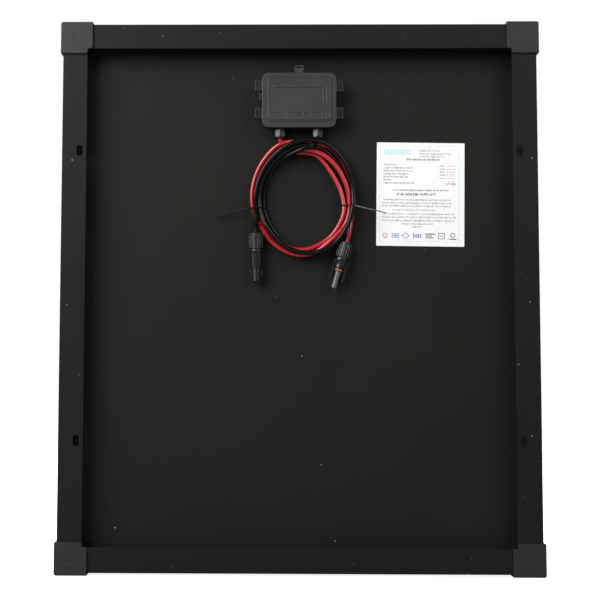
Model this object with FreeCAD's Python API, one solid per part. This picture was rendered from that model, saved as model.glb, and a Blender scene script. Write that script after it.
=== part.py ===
"""Framed solar panel seen upright: mitred aluminium frame, glass laminate,
junction box with two coiled cables and plug connectors, corner protectors.

Millimetres, +Z up along the long side, +X right when looking at the back.
The back faces -Y and the glass faces +Y. The origin is the bottom centre of
the bounding box. In all names, "back" is the -Y side and "front" the +Y side.
"""
import FreeCAD
import Part
import math
import os

Vector = FreeCAD.Vector

# ---------------------------------------------------------------- dimensions
# corner protectors
CAP_T = 2.5              # wall
CAP_SPAN = 36.3          # edge length
CAP_GAP = 0.1            # clearance to the frame

# frame; the depths are measured from its back plane
FRAME_W, FRAME_H, FRAME_D = 540.0, 620.0, 30.0
WALL = 1.4
LIP = 8.0                # width of the front lip over the glass
LEDGE = 11.0             # width of the ledge behind the laminate
FLANGE = 28.0            # width of the back mounting flange
CHAMBER_DEPTH = 10.0     # back face of the hollow chamber
LEDGE_BACK_DEPTH = 21.8
LEDGE_FRONT_DEPTH = 23.2
LIP_BACK_DEPTH = 28.6
KEY_ARM, KEY_GAP = 36.0, 0.1

FRAME_X = FRAME_W / 2.0
FRAME_BOTTOM = CAP_T
FRAME_TOP = FRAME_BOTTOM + FRAME_H
MID_Z = FRAME_BOTTOM + FRAME_H / 2.0
FRAME_BACK, FRAME_FRONT = -FRAME_D / 2.0, FRAME_D / 2.0

# mounting slots in the flange: distance from the middle, distance along the rail
SLOT_X, SLOT_PITCH = 250.0, 328.0
SLOT_W, SLOT_L = 7.0, 12.5

# laminate: Y of the layer faces, from the back sheet to the glass
LAMINATE_W, LAMINATE_H = 534.0, 614.0
SHEET_BACK = 8.6
EVA_BACK = 8.95
CELL_BACK = 9.4
EVA_MID = 9.6
GLASS_BACK, GLASS_FRONT = 10.05, 13.25

CELL_W, CELL_H = 125.0, 62.5
CELL_COLS, CELL_ROWS = 4, 9
CELL_GAP_X, CELL_GAP_Z = 3.0, 2.0
CELL_CORNER = 1.5
ARRAY_W = CELL_COLS * CELL_W + (CELL_COLS - 1) * CELL_GAP_X
ARRAY_H = CELL_ROWS * CELL_H + (CELL_ROWS - 1) * CELL_GAP_Z
ARRAY_BOTTOM, ARRAY_TOP = MID_Z - ARRAY_H / 2, MID_Z + ARRAY_H / 2
RIBBON_W, RIBBON_T, RIBBON_OVERRUN = 1.2, 0.1, 6.0
BUS_W, BUS_GAP = 5.0, 4.0      # bus ribbon and its distance from the cells
BUS_X = ARRAY_W / 2 - 6        # outer end of the bus ribbons
LEAD_W, LEAD_T = 5.0, 0.25
LEAD_Z = 547.0                 # where the leads turn back into the box

LABEL_W, LABEL_H, LABEL_T = 101.0, 120.0, 0.15
LABEL_X, LABEL_Z, LABEL_TILT = 140.0, 430.0, 0.73

# junction box
BOX_Z = 535.75           # middle
BASE_W, BASE_H = 79.0, 57.7
BASE_BACK, BASE_FRONT = -8.5, 7.8
BASE_FLOOR, BASE_FLOOR_INNER = 5.8, 6.0    # cavity end; end of what stands on the floor
PAD_FRONT = 8.6
LID_W, LID_H, LID_R = 85.0, 63.7, 8.0
LID_INNER, LID_BACK = -8.9, -11.2
PANEL_BACK = -12.2       # raised panel on the lid
TERMINAL_BACK, TERMINAL_FRONT = 2.6, 3.6
SCREW_Z = 516.0

# snap loops of the lid: (side, middle Z, width), and the width of the top one
SIDE_SNAPS = [(-1, 552.5, 11.0), (-1, 520.6, 12.0), (1, 552.6, 13.0), (1, 520.5, 12.4)]
TOP_SNAP_W = 9.8
SNAP_BACK, SNAP_FRONT = -10.4, -1.2
SNAP_RIM = 2.0           # material beside the openings of a loop

# cable glands, side by side under the box
GLAND_X, GLAND_Y = 21.7, 0.4
GLAND_TOP, GLAND_END = 504.2, 493.0
LEAD_XS = (-GLAND_X, 0.0, GLAND_X)
THREAD_PITCH = 1.5

CABLE_R, CORE_R = 2.8, 1.3

# connectors: cable end of the axis, direction towards the plug end
PIN_SEAT = ((-49.30, -0.10, 383.30), (0.016998, 0.0, -0.999856))
SOCKET_SEAT = ((54.30, -0.10, 372.40), (-0.28, 0.0, -0.96))
LATCH_X = 7.3            # latch arms: distance from the connector axis


# ------------------------------------------------------------------- helpers
def box(x0, x1, y0, y1, z0, z1):
    return Part.makeBox(x1 - x0, y1 - y0, z1 - z0, Vector(x0, y0, z0))


def cylinder(start, direction, radius, length):
    return Part.makeCylinder(radius, length, Vector(*start), Vector(*direction))


def fuse(shapes):
    return shapes[0].multiFuse(shapes[1:]).removeSplitter()


def closed_face(points):
    return Part.Face(Part.makePolygon(points + [points[0]]))


def extruded(points, along):
    return closed_face(points).extrude(along)


def prism_y(outline, y0, y1):
    """Closed (x, z) outline extruded along Y."""
    return extruded([Vector(x, y0, z) for x, z in outline], Vector(0, y1 - y0, 0))


def prism_z(outline, z0, z1):
    """Closed (x, y) outline extruded along Z."""
    return extruded([Vector(x, y, z0) for x, y in outline], Vector(0, 0, z1 - z0))


def rounded_y(mid_x, mid_z, width, height, radius, y0, y1):
    """Rounded rectangle in the XZ plane extruded along Y."""
    x0, x1 = mid_x - width / 2, mid_x + width / 2
    z0, z1 = mid_z - height / 2, mid_z + height / 2
    bulge = radius * (1 - math.sqrt(0.5))
    edges = []

    def line(*ends):
        edges.append(Part.LineSegment(*[Vector(x, y0, z) for x, z in ends]).toShape())

    def arc(*stations):
        edges.append(Part.Arc(*[Vector(x, y0, z) for x, z in stations]).toShape())

    line((x0 + radius, z0), (x1 - radius, z0))
    arc((x1 - radius, z0), (x1 - bulge, z0 + bulge), (x1, z0 + radius))
    line((x1, z0 + radius), (x1, z1 - radius))
    arc((x1, z1 - radius), (x1 - bulge, z1 - bulge), (x1 - radius, z1))
    line((x1 - radius, z1), (x0 + radius, z1))
    arc((x0 + radius, z1), (x0 + bulge, z1 - bulge), (x0, z1 - radius))
    line((x0, z1 - radius), (x0, z0 + radius))
    arc((x0, z0 + radius), (x0 + bulge, z0 + bulge), (x0 + radius, z0))
    return Part.Face(Part.Wire(edges)).extrude(Vector(0, y1 - y0, 0))


def placed(shape, position, direction=(0, 0, 1)):
    """Shape built around +Z at the origin, moved to a position with its axis turned."""
    moved = shape.copy()
    turn = FreeCAD.Rotation(Vector(0, 0, 1), Vector(*direction))
    moved.Placement = FreeCAD.Placement(Vector(*position), turn)
    return moved


def turned(outline):
    """Closed (radius, z) outline revolved about +Z."""
    face = closed_face([Vector(radius, 0, z) for radius, z in outline])
    return face.revolve(Vector(0, 0, 0), Vector(0, 0, 1), 360)


def thread_rings(root, crest, z0, z1):
    """Outline points of raised thread rings between two heights."""
    points = []
    z = z0
    while z + THREAD_PITCH < z1:
        points += [(root, z), (crest, z + 0.35), (crest, z + 0.75), (root, z + 1.1)]
        z += THREAD_PITCH
    return points


def edges_at_y(shape, y):
    return [e for e in shape.Edges if all(abs(v.Point.y - y) < 1e-6 for v in e.Vertexes)]


# -------------------------------------------------------------- frame rails
# Rail section: (distance inward from the outer face, depth from the back plane)
RAIL_OUTLINE = [
    (0, 0.4), (0.4, 0), (FLANGE - 0.3, 0), (FLANGE, 0.3),
    (FLANGE, WALL - 0.3), (FLANGE - 0.3, WALL), (WALL, WALL),
    (WALL, CHAMBER_DEPTH), (LEDGE, CHAMBER_DEPTH),
    (LEDGE, LEDGE_FRONT_DEPTH), (WALL, LEDGE_FRONT_DEPTH),
    (WALL, LIP_BACK_DEPTH), (LIP, LIP_BACK_DEPTH),
    (LIP, FRAME_D - 0.3), (LIP - 0.3, FRAME_D), (0.4, FRAME_D), (0, FRAME_D - 0.4),
]
RAIL_CHAMBER = [
    (WALL, CHAMBER_DEPTH + WALL), (LEDGE - WALL, CHAMBER_DEPTH + WALL),
    (LEDGE - WALL, LEDGE_BACK_DEPTH), (WALL, LEDGE_BACK_DEPTH),
]
MITRE = FLANGE + 4       # reach of the 45 degree cuts, past the flange


def mitred_rail(at, along, mitre_outline):
    """Hollow rail; at(inward, depth) gives the section points."""
    bar = extruded([at(*q) for q in RAIL_OUTLINE], along)
    bar = bar.cut(extruded([at(*q) for q in RAIL_CHAMBER], along))
    return bar.common(prism_y(mitre_outline, FRAME_BACK - 1, FRAME_FRONT + 1))


def upright_rail(side):
    def at(inward, depth):
        return Vector(side * (FRAME_X - inward), FRAME_BACK + depth, FRAME_BOTTOM)

    outer, inner = side * FRAME_X, side * (FRAME_X - MITRE)
    rail = mitred_rail(at, Vector(0, 0, FRAME_H), [
        (outer, FRAME_BOTTOM), (inner, FRAME_BOTTOM + MITRE),
        (inner, FRAME_TOP - MITRE), (outer, FRAME_TOP)])
    for z in (MID_Z - SLOT_PITCH / 2, MID_Z + SLOT_PITCH / 2):
        # the radius stays just under half the width so the short sides keep a length
        rail = rail.cut(rounded_y(side * SLOT_X, z, SLOT_W, SLOT_L, SLOT_W / 2 - 0.001,
                                  FRAME_BACK - 1, FRAME_BACK + WALL + 1))
    return rail


def level_rail(outer_z, inward_sign):
    def at(inward, depth):
        return Vector(-FRAME_X, FRAME_BACK + depth, outer_z + inward_sign * inward)

    inner_z = outer_z + inward_sign * MITRE
    return mitred_rail(at, Vector(FRAME_W, 0, 0), [
        (-FRAME_X, outer_z), (-FRAME_X + MITRE, inner_z),
        (FRAME_X - MITRE, inner_z), (FRAME_X, outer_z)])


def corner_keys():
    """L-shaped keys inside the rail chambers."""
    near, far = WALL + KEY_GAP, LEDGE - WALL - KEY_GAP
    outline = [(near, near), (KEY_ARM, near), (KEY_ARM, far), (far, far),
               (far, KEY_ARM), (near, KEY_ARM)]
    keys = []
    for side in (-1, 1):
        for outer_z, sign in ((FRAME_BOTTOM, 1), (FRAME_TOP, -1)):
            keys.append(prism_y([(side * (FRAME_X - a), outer_z + sign * b) for a, b in outline],
                                FRAME_BACK + CHAMBER_DEPTH + WALL + KEY_GAP,
                                FRAME_BACK + LEDGE_BACK_DEPTH - KEY_GAP))
    return Part.makeCompound(keys)


# -------------------------------------------------------- corner protectors
def corner_cap(side, top):
    """Slip-on corner: L-shaped plates over back and front, open inward."""
    def at(across, up):
        """Point at distances inward from the outer corner of the protector."""
        z = FRAME_TOP + CAP_T - up if top else up
        return side * (FRAME_X + CAP_T - across), z

    def plate(outline, y0, y1):
        return prism_y([at(*q) for q in outline], y0, y1)

    span = CAP_SPAN
    back_arm = CAP_T + FLANGE + 0.3
    front_arm = 15.0
    bevel = 1.5
    wall = CAP_T - CAP_GAP
    outside = [(span, 0), (2.2, 0), (0.64, 0.64), (0, 2.2), (0, span)]
    back_y, front_y = FRAME_BACK - CAP_T, FRAME_FRONT + CAP_T

    back = plate(outside + [(back_arm - bevel, span), (back_arm, span - bevel),
                            (back_arm, back_arm), (span - bevel, back_arm),
                            (span, back_arm - bevel)], back_y, FRAME_BACK - CAP_GAP)
    front = plate(outside + [(front_arm - bevel, span), (front_arm, span - bevel),
                             (front_arm, front_arm + 3), (front_arm + 3, front_arm),
                             (span - bevel, front_arm), (span, front_arm - bevel)],
                  FRAME_FRONT + CAP_GAP, front_y)
    walls = plate(outside + [(wall, span), (wall, wall), (span, wall)], back_y, front_y)
    body = fuse([back, front, walls])

    # two shallow grooves in the inner face of the level wall
    groove_w, groove_depth = 1.2, 0.6
    grooves = [plate([(a, wall), (a + groove_w, wall), (a + groove_w, wall - groove_depth),
                      (a, wall - groove_depth)], -6, 6) for a in (12.0, 24.0)]
    body = body.cut(Part.makeCompound(grooves))
    # shallow round mark in the back plate
    x, z = at(back_arm / 2, back_arm / 2)
    return body.cut(cylinder((x, back_y, z), (0, 1, 0), radius=1.6, length=0.4))


# ----------------------------------------------------------------- laminate
def column_x(column):
    return -ARRAY_W / 2 + column * (CELL_W + CELL_GAP_X)


def cells():
    """Grid of cells with bevelled corners."""
    k = CELL_CORNER
    out = []
    for column in range(CELL_COLS):
        for row in range(CELL_ROWS):
            x0, z0 = column_x(column), ARRAY_BOTTOM + row * (CELL_H + CELL_GAP_Z)
            x1, z1 = x0 + CELL_W, z0 + CELL_H
            out.append(prism_y([(x0 + k, z0), (x1 - k, z0), (x1, z0 + k), (x1, z1 - k),
                                (x1 - k, z1), (x0 + k, z1), (x0, z1 - k), (x0, z0 + k)],
                               CELL_BACK, EVA_MID))
    return Part.makeCompound(out)


def cell_ribbons():
    """Three upright ribbons in front of each column of cells."""
    out = []
    for column in range(CELL_COLS):
        for fraction in (1 / 6.0, 0.5, 5 / 6.0):
            x = column_x(column) + CELL_W * fraction
            out.append(box(x - RIBBON_W / 2, x + RIBBON_W / 2, EVA_MID, EVA_MID + RIBBON_T,
                           ARRAY_BOTTOM - RIBBON_OVERRUN, ARRAY_TOP + RIBBON_OVERRUN))
    return Part.makeCompound(out)


def bus_ribbons():
    """Level ribbons below and above the cells, and the leads into the box."""
    low, high = ARRAY_BOTTOM - BUS_GAP, ARRAY_TOP + BUS_GAP
    back, front = CELL_BACK - 0.05, CELL_BACK + 0.1
    out = [box(x0, x1, back, front, low - BUS_W, low) for x0, x1 in ((-BUS_X, -6), (6, BUS_X))]
    out += [box(x0, x1, back, front, high, high + BUS_W)
            for x0, x1 in ((-BUS_X, -134), (-122, 122), (134, BUS_X))]

    lead_back, lead_front = EVA_BACK + 0.1, EVA_BACK + 0.1 + LEAD_T
    outer_low = high + BUS_W + 1      # second row, reached by the outer leads
    outer_high = outer_low + BUS_W
    for x in LEAD_XS:
        x0, x1 = x - LEAD_W / 2, x + LEAD_W / 2
        lead_top = high + BUS_W if x == 0 else outer_high
        up = box(x0, x1, lead_back, lead_front, LEAD_Z, lead_top)
        tail = box(x0, x1, TERMINAL_FRONT, lead_front, LEAD_Z - LEAD_T, LEAD_Z)
        out.append(up.fuse(tail).removeSplitter())
    inner_x = GLAND_X + LEAD_W / 2
    out.append(box(-BUS_X, -inner_x, lead_back, lead_front, outer_low, outer_high))
    out.append(box(inner_x, BUS_X, lead_back, lead_front, outer_low, outer_high))
    return Part.makeCompound(out)


def lead_slits(y0, y1):
    return Part.makeCompound([box(x - 4, x + 4, y0, y1, LEAD_Z - 1.5, LEAD_Z + 1.5)
                              for x in LEAD_XS])


def sheet(y0, y1):
    """Full-size laminate layer."""
    return box(-LAMINATE_W / 2, LAMINATE_W / 2, y0, y1,
               MID_Z - LAMINATE_H / 2, MID_Z + LAMINATE_H / 2)


def front_glass():
    glass = sheet(GLASS_BACK, GLASS_FRONT)
    return glass.makeChamfer(0.5, edges_at_y(glass, GLASS_FRONT))


def front_encapsulant():
    return sheet(EVA_MID, GLASS_BACK).cut(cell_ribbons())


def rear_encapsulant():
    layer = sheet(EVA_BACK, EVA_MID).cut(cells()).cut(bus_ribbons())
    return layer.cut(lead_slits(EVA_BACK - 1, EVA_BACK + 0.1))


def backsheet():
    return sheet(SHEET_BACK, EVA_BACK).cut(lead_slits(SHEET_BACK - 1, EVA_BACK + 0.05))


def edge_seal():
    """Ring between ledge and lip, around the edge of the laminate."""
    def block(inset, y0, y1):
        return box(-FRAME_X + inset, FRAME_X - inset, y0, y1,
                   FRAME_BOTTOM + inset, FRAME_TOP - inset)

    y0, y1 = FRAME_BACK + LEDGE_FRONT_DEPTH, FRAME_BACK + LIP_BACK_DEPTH
    ring = block(WALL, y0, y1).cut(block(7.5, y0 - 1, y1 + 1))
    return ring.cut(sheet(SHEET_BACK, GLASS_FRONT))


def rating_label():
    label = rounded_y(0, 0, LABEL_W, LABEL_H, 1.2, 0, LABEL_T)
    label.rotate(Vector(0, 0, 0), Vector(0, 1, 0), LABEL_TILT)
    label.translate(Vector(LABEL_X, SHEET_BACK - LABEL_T, LABEL_Z))
    return label


# ------------------------------------------------------------- junction box
def base_block(growth, radius, y0, y1):
    """Rounded block with the outline of the box base, larger or smaller."""
    return rounded_y(0, BOX_Z, BASE_W + growth, BASE_H + growth, radius, y0, y1)


def adhesive_pad():
    pad = base_block(-2, 5.0, BASE_FRONT, PAD_FRONT)
    return pad.cut(box(-32, 32, BASE_FRONT - 1, PAD_FRONT + 1, 540, 554))


def snap_catches():
    """Wedge blocks on the base, under the loops of the lid."""
    def wedge(root, tip, slope):
        """(outward, y) outline."""
        return [(root, -6.2), (tip - slope, -6.2), (tip, -4.4), (tip, -3.4), (root, -3.4)]

    play = 2.4               # loop rim and clearance at each end of a wedge
    out = []
    for side, mid_z, width in SIDE_SNAPS:
        half = width / 2 - play
        outline = wedge(side * (BASE_W / 2 - 0.5), side * 48.55, side * 1.6)
        out.append(prism_z(outline, mid_z - half, mid_z + half))
    half = TOP_SNAP_W / 2 - play
    outline = wedge(BOX_Z + BASE_H / 2 - 0.5, 574.2, 1.6)
    out.append(extruded([Vector(-half, y, z) for z, y in outline], Vector(2 * half, 0, 0)))
    return out


def box_base():
    body = base_block(0, 6.0, BASE_BACK, BASE_FRONT)
    body = body.cut(base_block(-6, 4.0, BASE_BACK - 1, BASE_FLOOR))
    gasket_groove = base_block(-2.0, 5.2, BASE_BACK - 1, BASE_BACK + 0.6).cut(
        base_block(-4.6, 4.4, BASE_BACK - 2, BASE_BACK + 1))
    body = body.cut(gasket_groove)

    # foot flange
    add = [rounded_y(0, BOX_Z, BASE_W + 4, BASE_H, 6.0, BASE_FRONT - 2.0, BASE_FRONT)]
    # two posts under each terminal rail
    for x in LEAD_XS:
        for z in (513, 531):
            add.append(box(x - 4, x + 4, TERMINAL_FRONT, BASE_FLOOR_INNER, z, z + 6))
    # thin upright walls between the rails
    for x in (-10.9, 10.9):
        for z0, z1 in ((540.0, 562.0), (509.5, 524.0)):
            add.append(box(x - 0.8, x + 0.8, -3.5, BASE_FLOOR_INNER, z0, z1))
    add += snap_catches()
    # threaded gland necks, pointing down
    neck = turned([(0, 0), (6.0, 0), (6.0, 2.6), (5.0, 2.9)]
                  + thread_rings(4.7, 5.0, 3.4, 10.2)
                  + [(4.7, 10.2), (4.4, 10.9), (0, 10.9)])
    for x in (-GLAND_X, GLAND_X):
        add.append(placed(neck, (x, GLAND_Y, BOX_Z - BASE_H / 2 + 1.0), (0, 0, -1)))
    body = fuse([body] + add)

    # cable bore and the wider seal bore of each neck
    for x in (-GLAND_X, GLAND_X):
        body = body.cut(cylinder((x, GLAND_Y, 490), (0, 0, 1), radius=2.95, length=24))
        body = body.cut(cylinder((x, GLAND_Y, 490), (0, 0, 1), radius=3.9, length=14.0))
    # opening for the leads
    return body.cut(box(-30, 30, 3.0, BASE_FRONT + 1, 542, 552))


def gasket():
    return base_block(-2.2, 5.1, LID_INNER, BASE_BACK + 0.6).cut(
        base_block(-4.4, 4.5, LID_INNER - 1, BASE_BACK + 1))


def raised_marks():
    """Low bars standing on the raised panel of the lid."""
    spans = [(-28.5, 25.5, 550.0, 552.8), (27.0, 28.0, 531.5, 549.8), (31.3, 32.3, 531.5, 549.8)]
    # row of frames along the lower edge
    low, high, line_w = 513.0, 522.6, 0.8
    spans += [(-34.0, 35.0, low, low + line_w), (-34.0, 35.0, high - line_w, high)]
    for x in (-34.0, -16.8, -14.2, 4.2, 14.4, 26.4, 30.4, 34.2):
        spans.append((x, x + line_w, low, high))
    return [box(x0, x1, PANEL_BACK - 0.45, PANEL_BACK + 0.3, z0, z1) for x0, x1, z0, z1 in spans]


def snap_loop(block, half, root, hole_start, ring_in, ring_out):
    """Web and ring of one loop; block(out0, out1, y0, y1, half) makes its boxes."""
    web = block(root, ring_out, SNAP_BACK, SNAP_BACK + 2.0, half)
    web_hole = block(hole_start, ring_in, SNAP_BACK - 1, SNAP_BACK + 3, half - SNAP_RIM)
    ring = block(ring_in, ring_out, SNAP_BACK, SNAP_FRONT, half)
    ring_hole = block(ring_in - 1, ring_out + 1, -6.6, -3.0, half - SNAP_RIM)
    return [web.cut(web_hole), ring.cut(ring_hole)]


def snap_loops():
    out = []
    for side, mid_z, width in SIDE_SNAPS:
        def side_block(out0, out1, y0, y1, half):
            x0, x1 = sorted((side * out0, side * out1))
            return box(x0, x1, y0, y1, mid_z - half, mid_z + half)

        out += snap_loop(side_block, width / 2, root=LID_W / 2 - 0.6,
                         hole_start=46.9, ring_in=48.7, ring_out=50.3)

    def top_block(z0, z1, y0, y1, half):
        return box(-half, half, y0, y1, z0, z1)

    return out + snap_loop(top_block, TOP_SNAP_W / 2, root=BOX_Z + LID_H / 2 - 0.6,
                           hole_start=572.45, ring_in=574.35, ring_out=575.8)


def box_lid():
    plate = rounded_y(0, BOX_Z, LID_W, LID_H, LID_R, LID_BACK, -6.8)
    plate = plate.makeFillet(1.0, edges_at_y(plate, LID_BACK))
    plate = plate.cut(base_block(0.4, 6.2, LID_INNER, -6.0))
    panel = rounded_y(0.4, 537.3, 73.5, 52.8, 4.0, PANEL_BACK, LID_BACK + 0.5)
    panel = panel.makeChamfer(0.5, edges_at_y(panel, PANEL_BACK))
    # small tab between the left loops
    tab = box(-45.8, -LID_W / 2 + 0.6, -10.0, -8.4, 536.6, 543.4)
    return fuse([plate, panel] + raised_marks() + snap_loops() + [tab])


def terminal_plate(x):
    return box(x - 6.0, x + 6.0, TERMINAL_BACK, TERMINAL_FRONT, 511.0, 548.5)


def centre_terminal():
    return terminal_plate(0.0).cut(box(-6.1, 6.1, 2.0, 4.0, 510.0, 525.0))


def cable_terminal(x):
    """Terminal rail with a clamp block for the cable core."""
    clamp = box(x - 4.0, x + 4.0, -2.6, TERMINAL_BACK + 0.1, 511.5, 520.5)
    bore = cylinder((x, GLAND_Y, 511.0), (0, 0, 1), CORE_R + 0.05, 8.0)
    screw_hole = cylinder((x, -5.0, SCREW_Z), (0, 1, 0), 1.45, 5.0)
    return fuse([terminal_plate(x), clamp]).cut(bore).cut(screw_hole)


def terminal_screws():
    out = []
    for x in (-GLAND_X, GLAND_X):
        head = cylinder((x, -4.6, SCREW_Z), (0, 1, 0), 2.6, 2.0)
        screw = head.fuse(cylinder((x, -2.7, SCREW_Z), (0, 1, 0), 1.4, 1.75))
        slot = box(x - 3, x + 3, -4.7, -3.8, SCREW_Z - 0.4, SCREW_Z + 0.4)
        out.append(screw.cut(slot).removeSplitter())
    return Part.makeCompound(out)


def bypass_diode(x):
    """Barrel body lying along X with a lead through it."""
    y, z = 1.98, 529.0
    length, lead_length = 7.5, 14.8
    body = turned([(0, 0), (2.2, 0), (2.55, 0.35), (2.55, length - 0.35), (2.2, length),
                   (0, length)])
    body = placed(body, (x - length / 2, y, z), (1, 0, 0))
    lead = cylinder((x - lead_length / 2, y, z), (1, 0, 0), 0.6, lead_length)
    return body.fuse(lead).removeSplitter()


# -------------------------------------------------------------- cable glands
def gland_nut(x):
    """Hexagon nut around the cable; the mouth is flared for the bend."""
    height = GLAND_TOP - GLAND_END
    corner_r = 12.3 / math.sqrt(3)      # from the width across flats
    angles = [math.radians(60 * i + 30) for i in range(6)]
    hexagon = prism_z([(corner_r * math.cos(a), corner_r * math.sin(a)) for a in angles],
                      0, height)
    dome = turned([(0, 0), (4.9, 0), (6.0, 1.1), (6.75, 2.4), (6.75, height - 1.0),
                   (6.2, height), (0, height)])
    bore = turned([(0, -1), (4.7, -1), (4.45, 0.6), (3.5, 2.2), (3.5, 2.4), (4.55, 2.4),
                   (4.55, 3.4), (5.1, 3.6), (5.1, height - 2.2), (6.1, height - 2.0),
                   (6.1, height + 1), (0, height + 1)])
    return placed(hexagon.common(dome).cut(bore), (x, GLAND_Y, GLAND_END))


def gland_collet(x):
    ring = turned([(3.02, 0), (4.2, 0), (4.45, 0.3), (4.45, 0.8), (3.02, 0.8)])
    return placed(ring, (x, GLAND_Y, GLAND_END + 2.5))


def gland_seal(x):
    sleeve = turned([(2.98, 0), (3.7, 0), (3.86, 0.4), (3.86, 6.6), (2.98, 6.6)])
    return placed(sleeve, (x, GLAND_Y, 497.2))


# ---------------------------------------------------------- plug connectors
# Built around +Z with the cable entering at z = 0; outlines are (radius, z).
def coupling_nut(radius):
    """Grip nut with rounded grooves."""
    length, chamfer = 17.5, 0.6
    groove_count, groove_r, groove_depth = 18, 0.9, 0.55
    body = turned([(0, 0), (radius - chamfer, 0), (radius, chamfer), (radius, length - chamfer),
                   (radius - chamfer, length), (0, length)])
    grooves = []
    for i in range(groove_count):
        angle = 2 * math.pi * i / groove_count
        reach = radius + groove_r - groove_depth
        start = (reach * math.cos(angle), reach * math.sin(angle), 1.6)
        grooves.append(cylinder(start, (0, 0, 1), groove_r, length - 2.4))
    body = body.cut(Part.makeCompound(grooves))
    bore = turned([(0, -1), (4.3, -1), (3.5, 1.2), (3.5, 2.4), (5.6, 2.4), (5.6, 3.8),
                   (6.5, 4.0), (6.5, 18.5), (0, 18.5)])
    return body.cut(bore)


def coupling_collet():
    """Collar with six slots cut into its far end."""
    body = turned([(2.98, 2.5), (4.6, 2.5), (5.5, 3.0), (5.5, 3.6), (4.4, 4.0), (4.4, 7.4),
                   (2.98, 7.4)])
    slots = []
    for i in range(6):
        slot = box(-0.4, 0.4, 0, 8, 4.2, 8.0)
        slot.rotate(Vector(0, 0, 0), Vector(0, 0, 1), 60 * i)
        slots.append(slot)
    return body.cut(Part.makeCompound(slots))


def coupling_seal():
    return turned([(2.92, 8.2), (4.2, 8.2), (4.4, 8.6), (4.4, 14.8), (2.92, 14.8)])


# threaded cable end shared by both housings
HOUSING_REAR = ([(0, 5.2), (6.0, 5.2)] + thread_rings(6.05, 6.4, 5.6, 16.0)
                + [(6.05, 16.8), (6.05, 18.2)])


def rear_bore(end):
    """Stepped bore for seal, cable and contact."""
    return turned([(0, 5.0), (4.5, 5.0), (4.5, 15.0), (2.95, 15.4), (2.95, 20.0), (2.1, 20.0),
                   (2.1, end), (0, end)])


def pin_housing():
    """Shell with a deep socket around the contact pin and two side windows."""
    body = turned(HOUSING_REAR + [
        (7.5, 18.2), (7.7, 18.8), (7.7, 21.0), (7.1, 21.6), (7.1, 38.0), (6.4, 38.6),
        (6.4, 40.0), (5.6, 40.6), (5.6, 54.6), (5.2, 55.0), (0, 55.0)])
    flats = [box(-9, 9, y0, y1, 21.7, 37.9) for y0, y1 in ((-9, -6.3), (6.3, 9))]
    body = body.cut(Part.makeCompound(flats))
    ribs = [box(-1.1, 1.1, y0, y1, 22.0, 38.4) for y0, y1 in ((-7.2, -6.0), (6.0, 7.2))]
    prongs = [box(x0, x1, -2.0, 2.0, 38.0, 50.0) for x0, x1 in ((-6.6, -5.2), (5.2, 6.6))]
    body = fuse([body] + ribs + prongs)
    cavity = turned([(0, 30.6), (4.6, 30.6), (4.6, 56), (0, 56)])
    windows = box(-9, 9, -1.5, 1.5, 42.0, 47.0)
    return body.cut(cavity).cut(rear_bore(30.6)).cut(windows)


def pin_contact():
    return turned([(1.36, 20.2), (2.0, 20.2), (2.0, 28.0), (2.05, 28.2), (2.05, 30.4),
                   (1.45, 30.6), (1.45, 49.0), (1.1, 50.5), (0, 50.9), (0, 26.4), (1.36, 26.4)])


def socket_housing():
    """Body with the slim plug barrel; the latch arms are separate."""
    body = turned(HOUSING_REAR + [
        (7.9, 18.2), (8.1, 18.8), (8.1, 21.2), (7.4, 21.8), (6.0, 25.8), (5.9, 30.2),
        (3.7, 30.6), (3.7, 33.6), (3.05, 34.0), (3.05, 52.9), (2.6, 53.5), (0, 53.5)])
    # blocks that carry the latch arms
    reach = LATCH_X + 1.2
    blocks = [box(x0, x1, -2.6, 2.6, 21.4, 25.6) for x0, x1 in ((-reach, -5.0), (5.0, reach))]
    return fuse([body] + blocks).cut(rear_bore(54))


def socket_contact():
    """Hollow contact, slit at the plug end."""
    body = turned([(1.36, 20.2), (2.0, 20.2), (2.0, 50.6), (1.6, 50.9), (1.5, 50.9),
                   (1.5, 34.0), (0, 34.0), (0, 26.4), (1.36, 26.4)])
    return body.cut(box(-0.3, 0.3, -3, 3, 38.0, 51.5))


def socket_oring():
    return turned([(3.72, 30.8), (4.5, 30.95), (4.75, 31.5), (4.75, 32.7), (4.5, 33.25),
                   (3.72, 33.4)])


def latch_arm(side):
    """Arm with a barb, standing beside the barrel."""
    # (distance outward from the arm's inner face, z)
    outline = [(0, 25.8), (2.0, 25.8), (2.0, 26.6), (1.7, 27.4), (1.7, 39.2), (3.0, 40.2),
               (3.0, 41.4), (1.2, 45.4), (0.4, 45.4), (0, 44.4)]
    inner_x = LATCH_X - 1.0
    return prism_y([(side * (inner_x + out), z) for out, z in outline], -2.3, 2.3)


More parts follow.
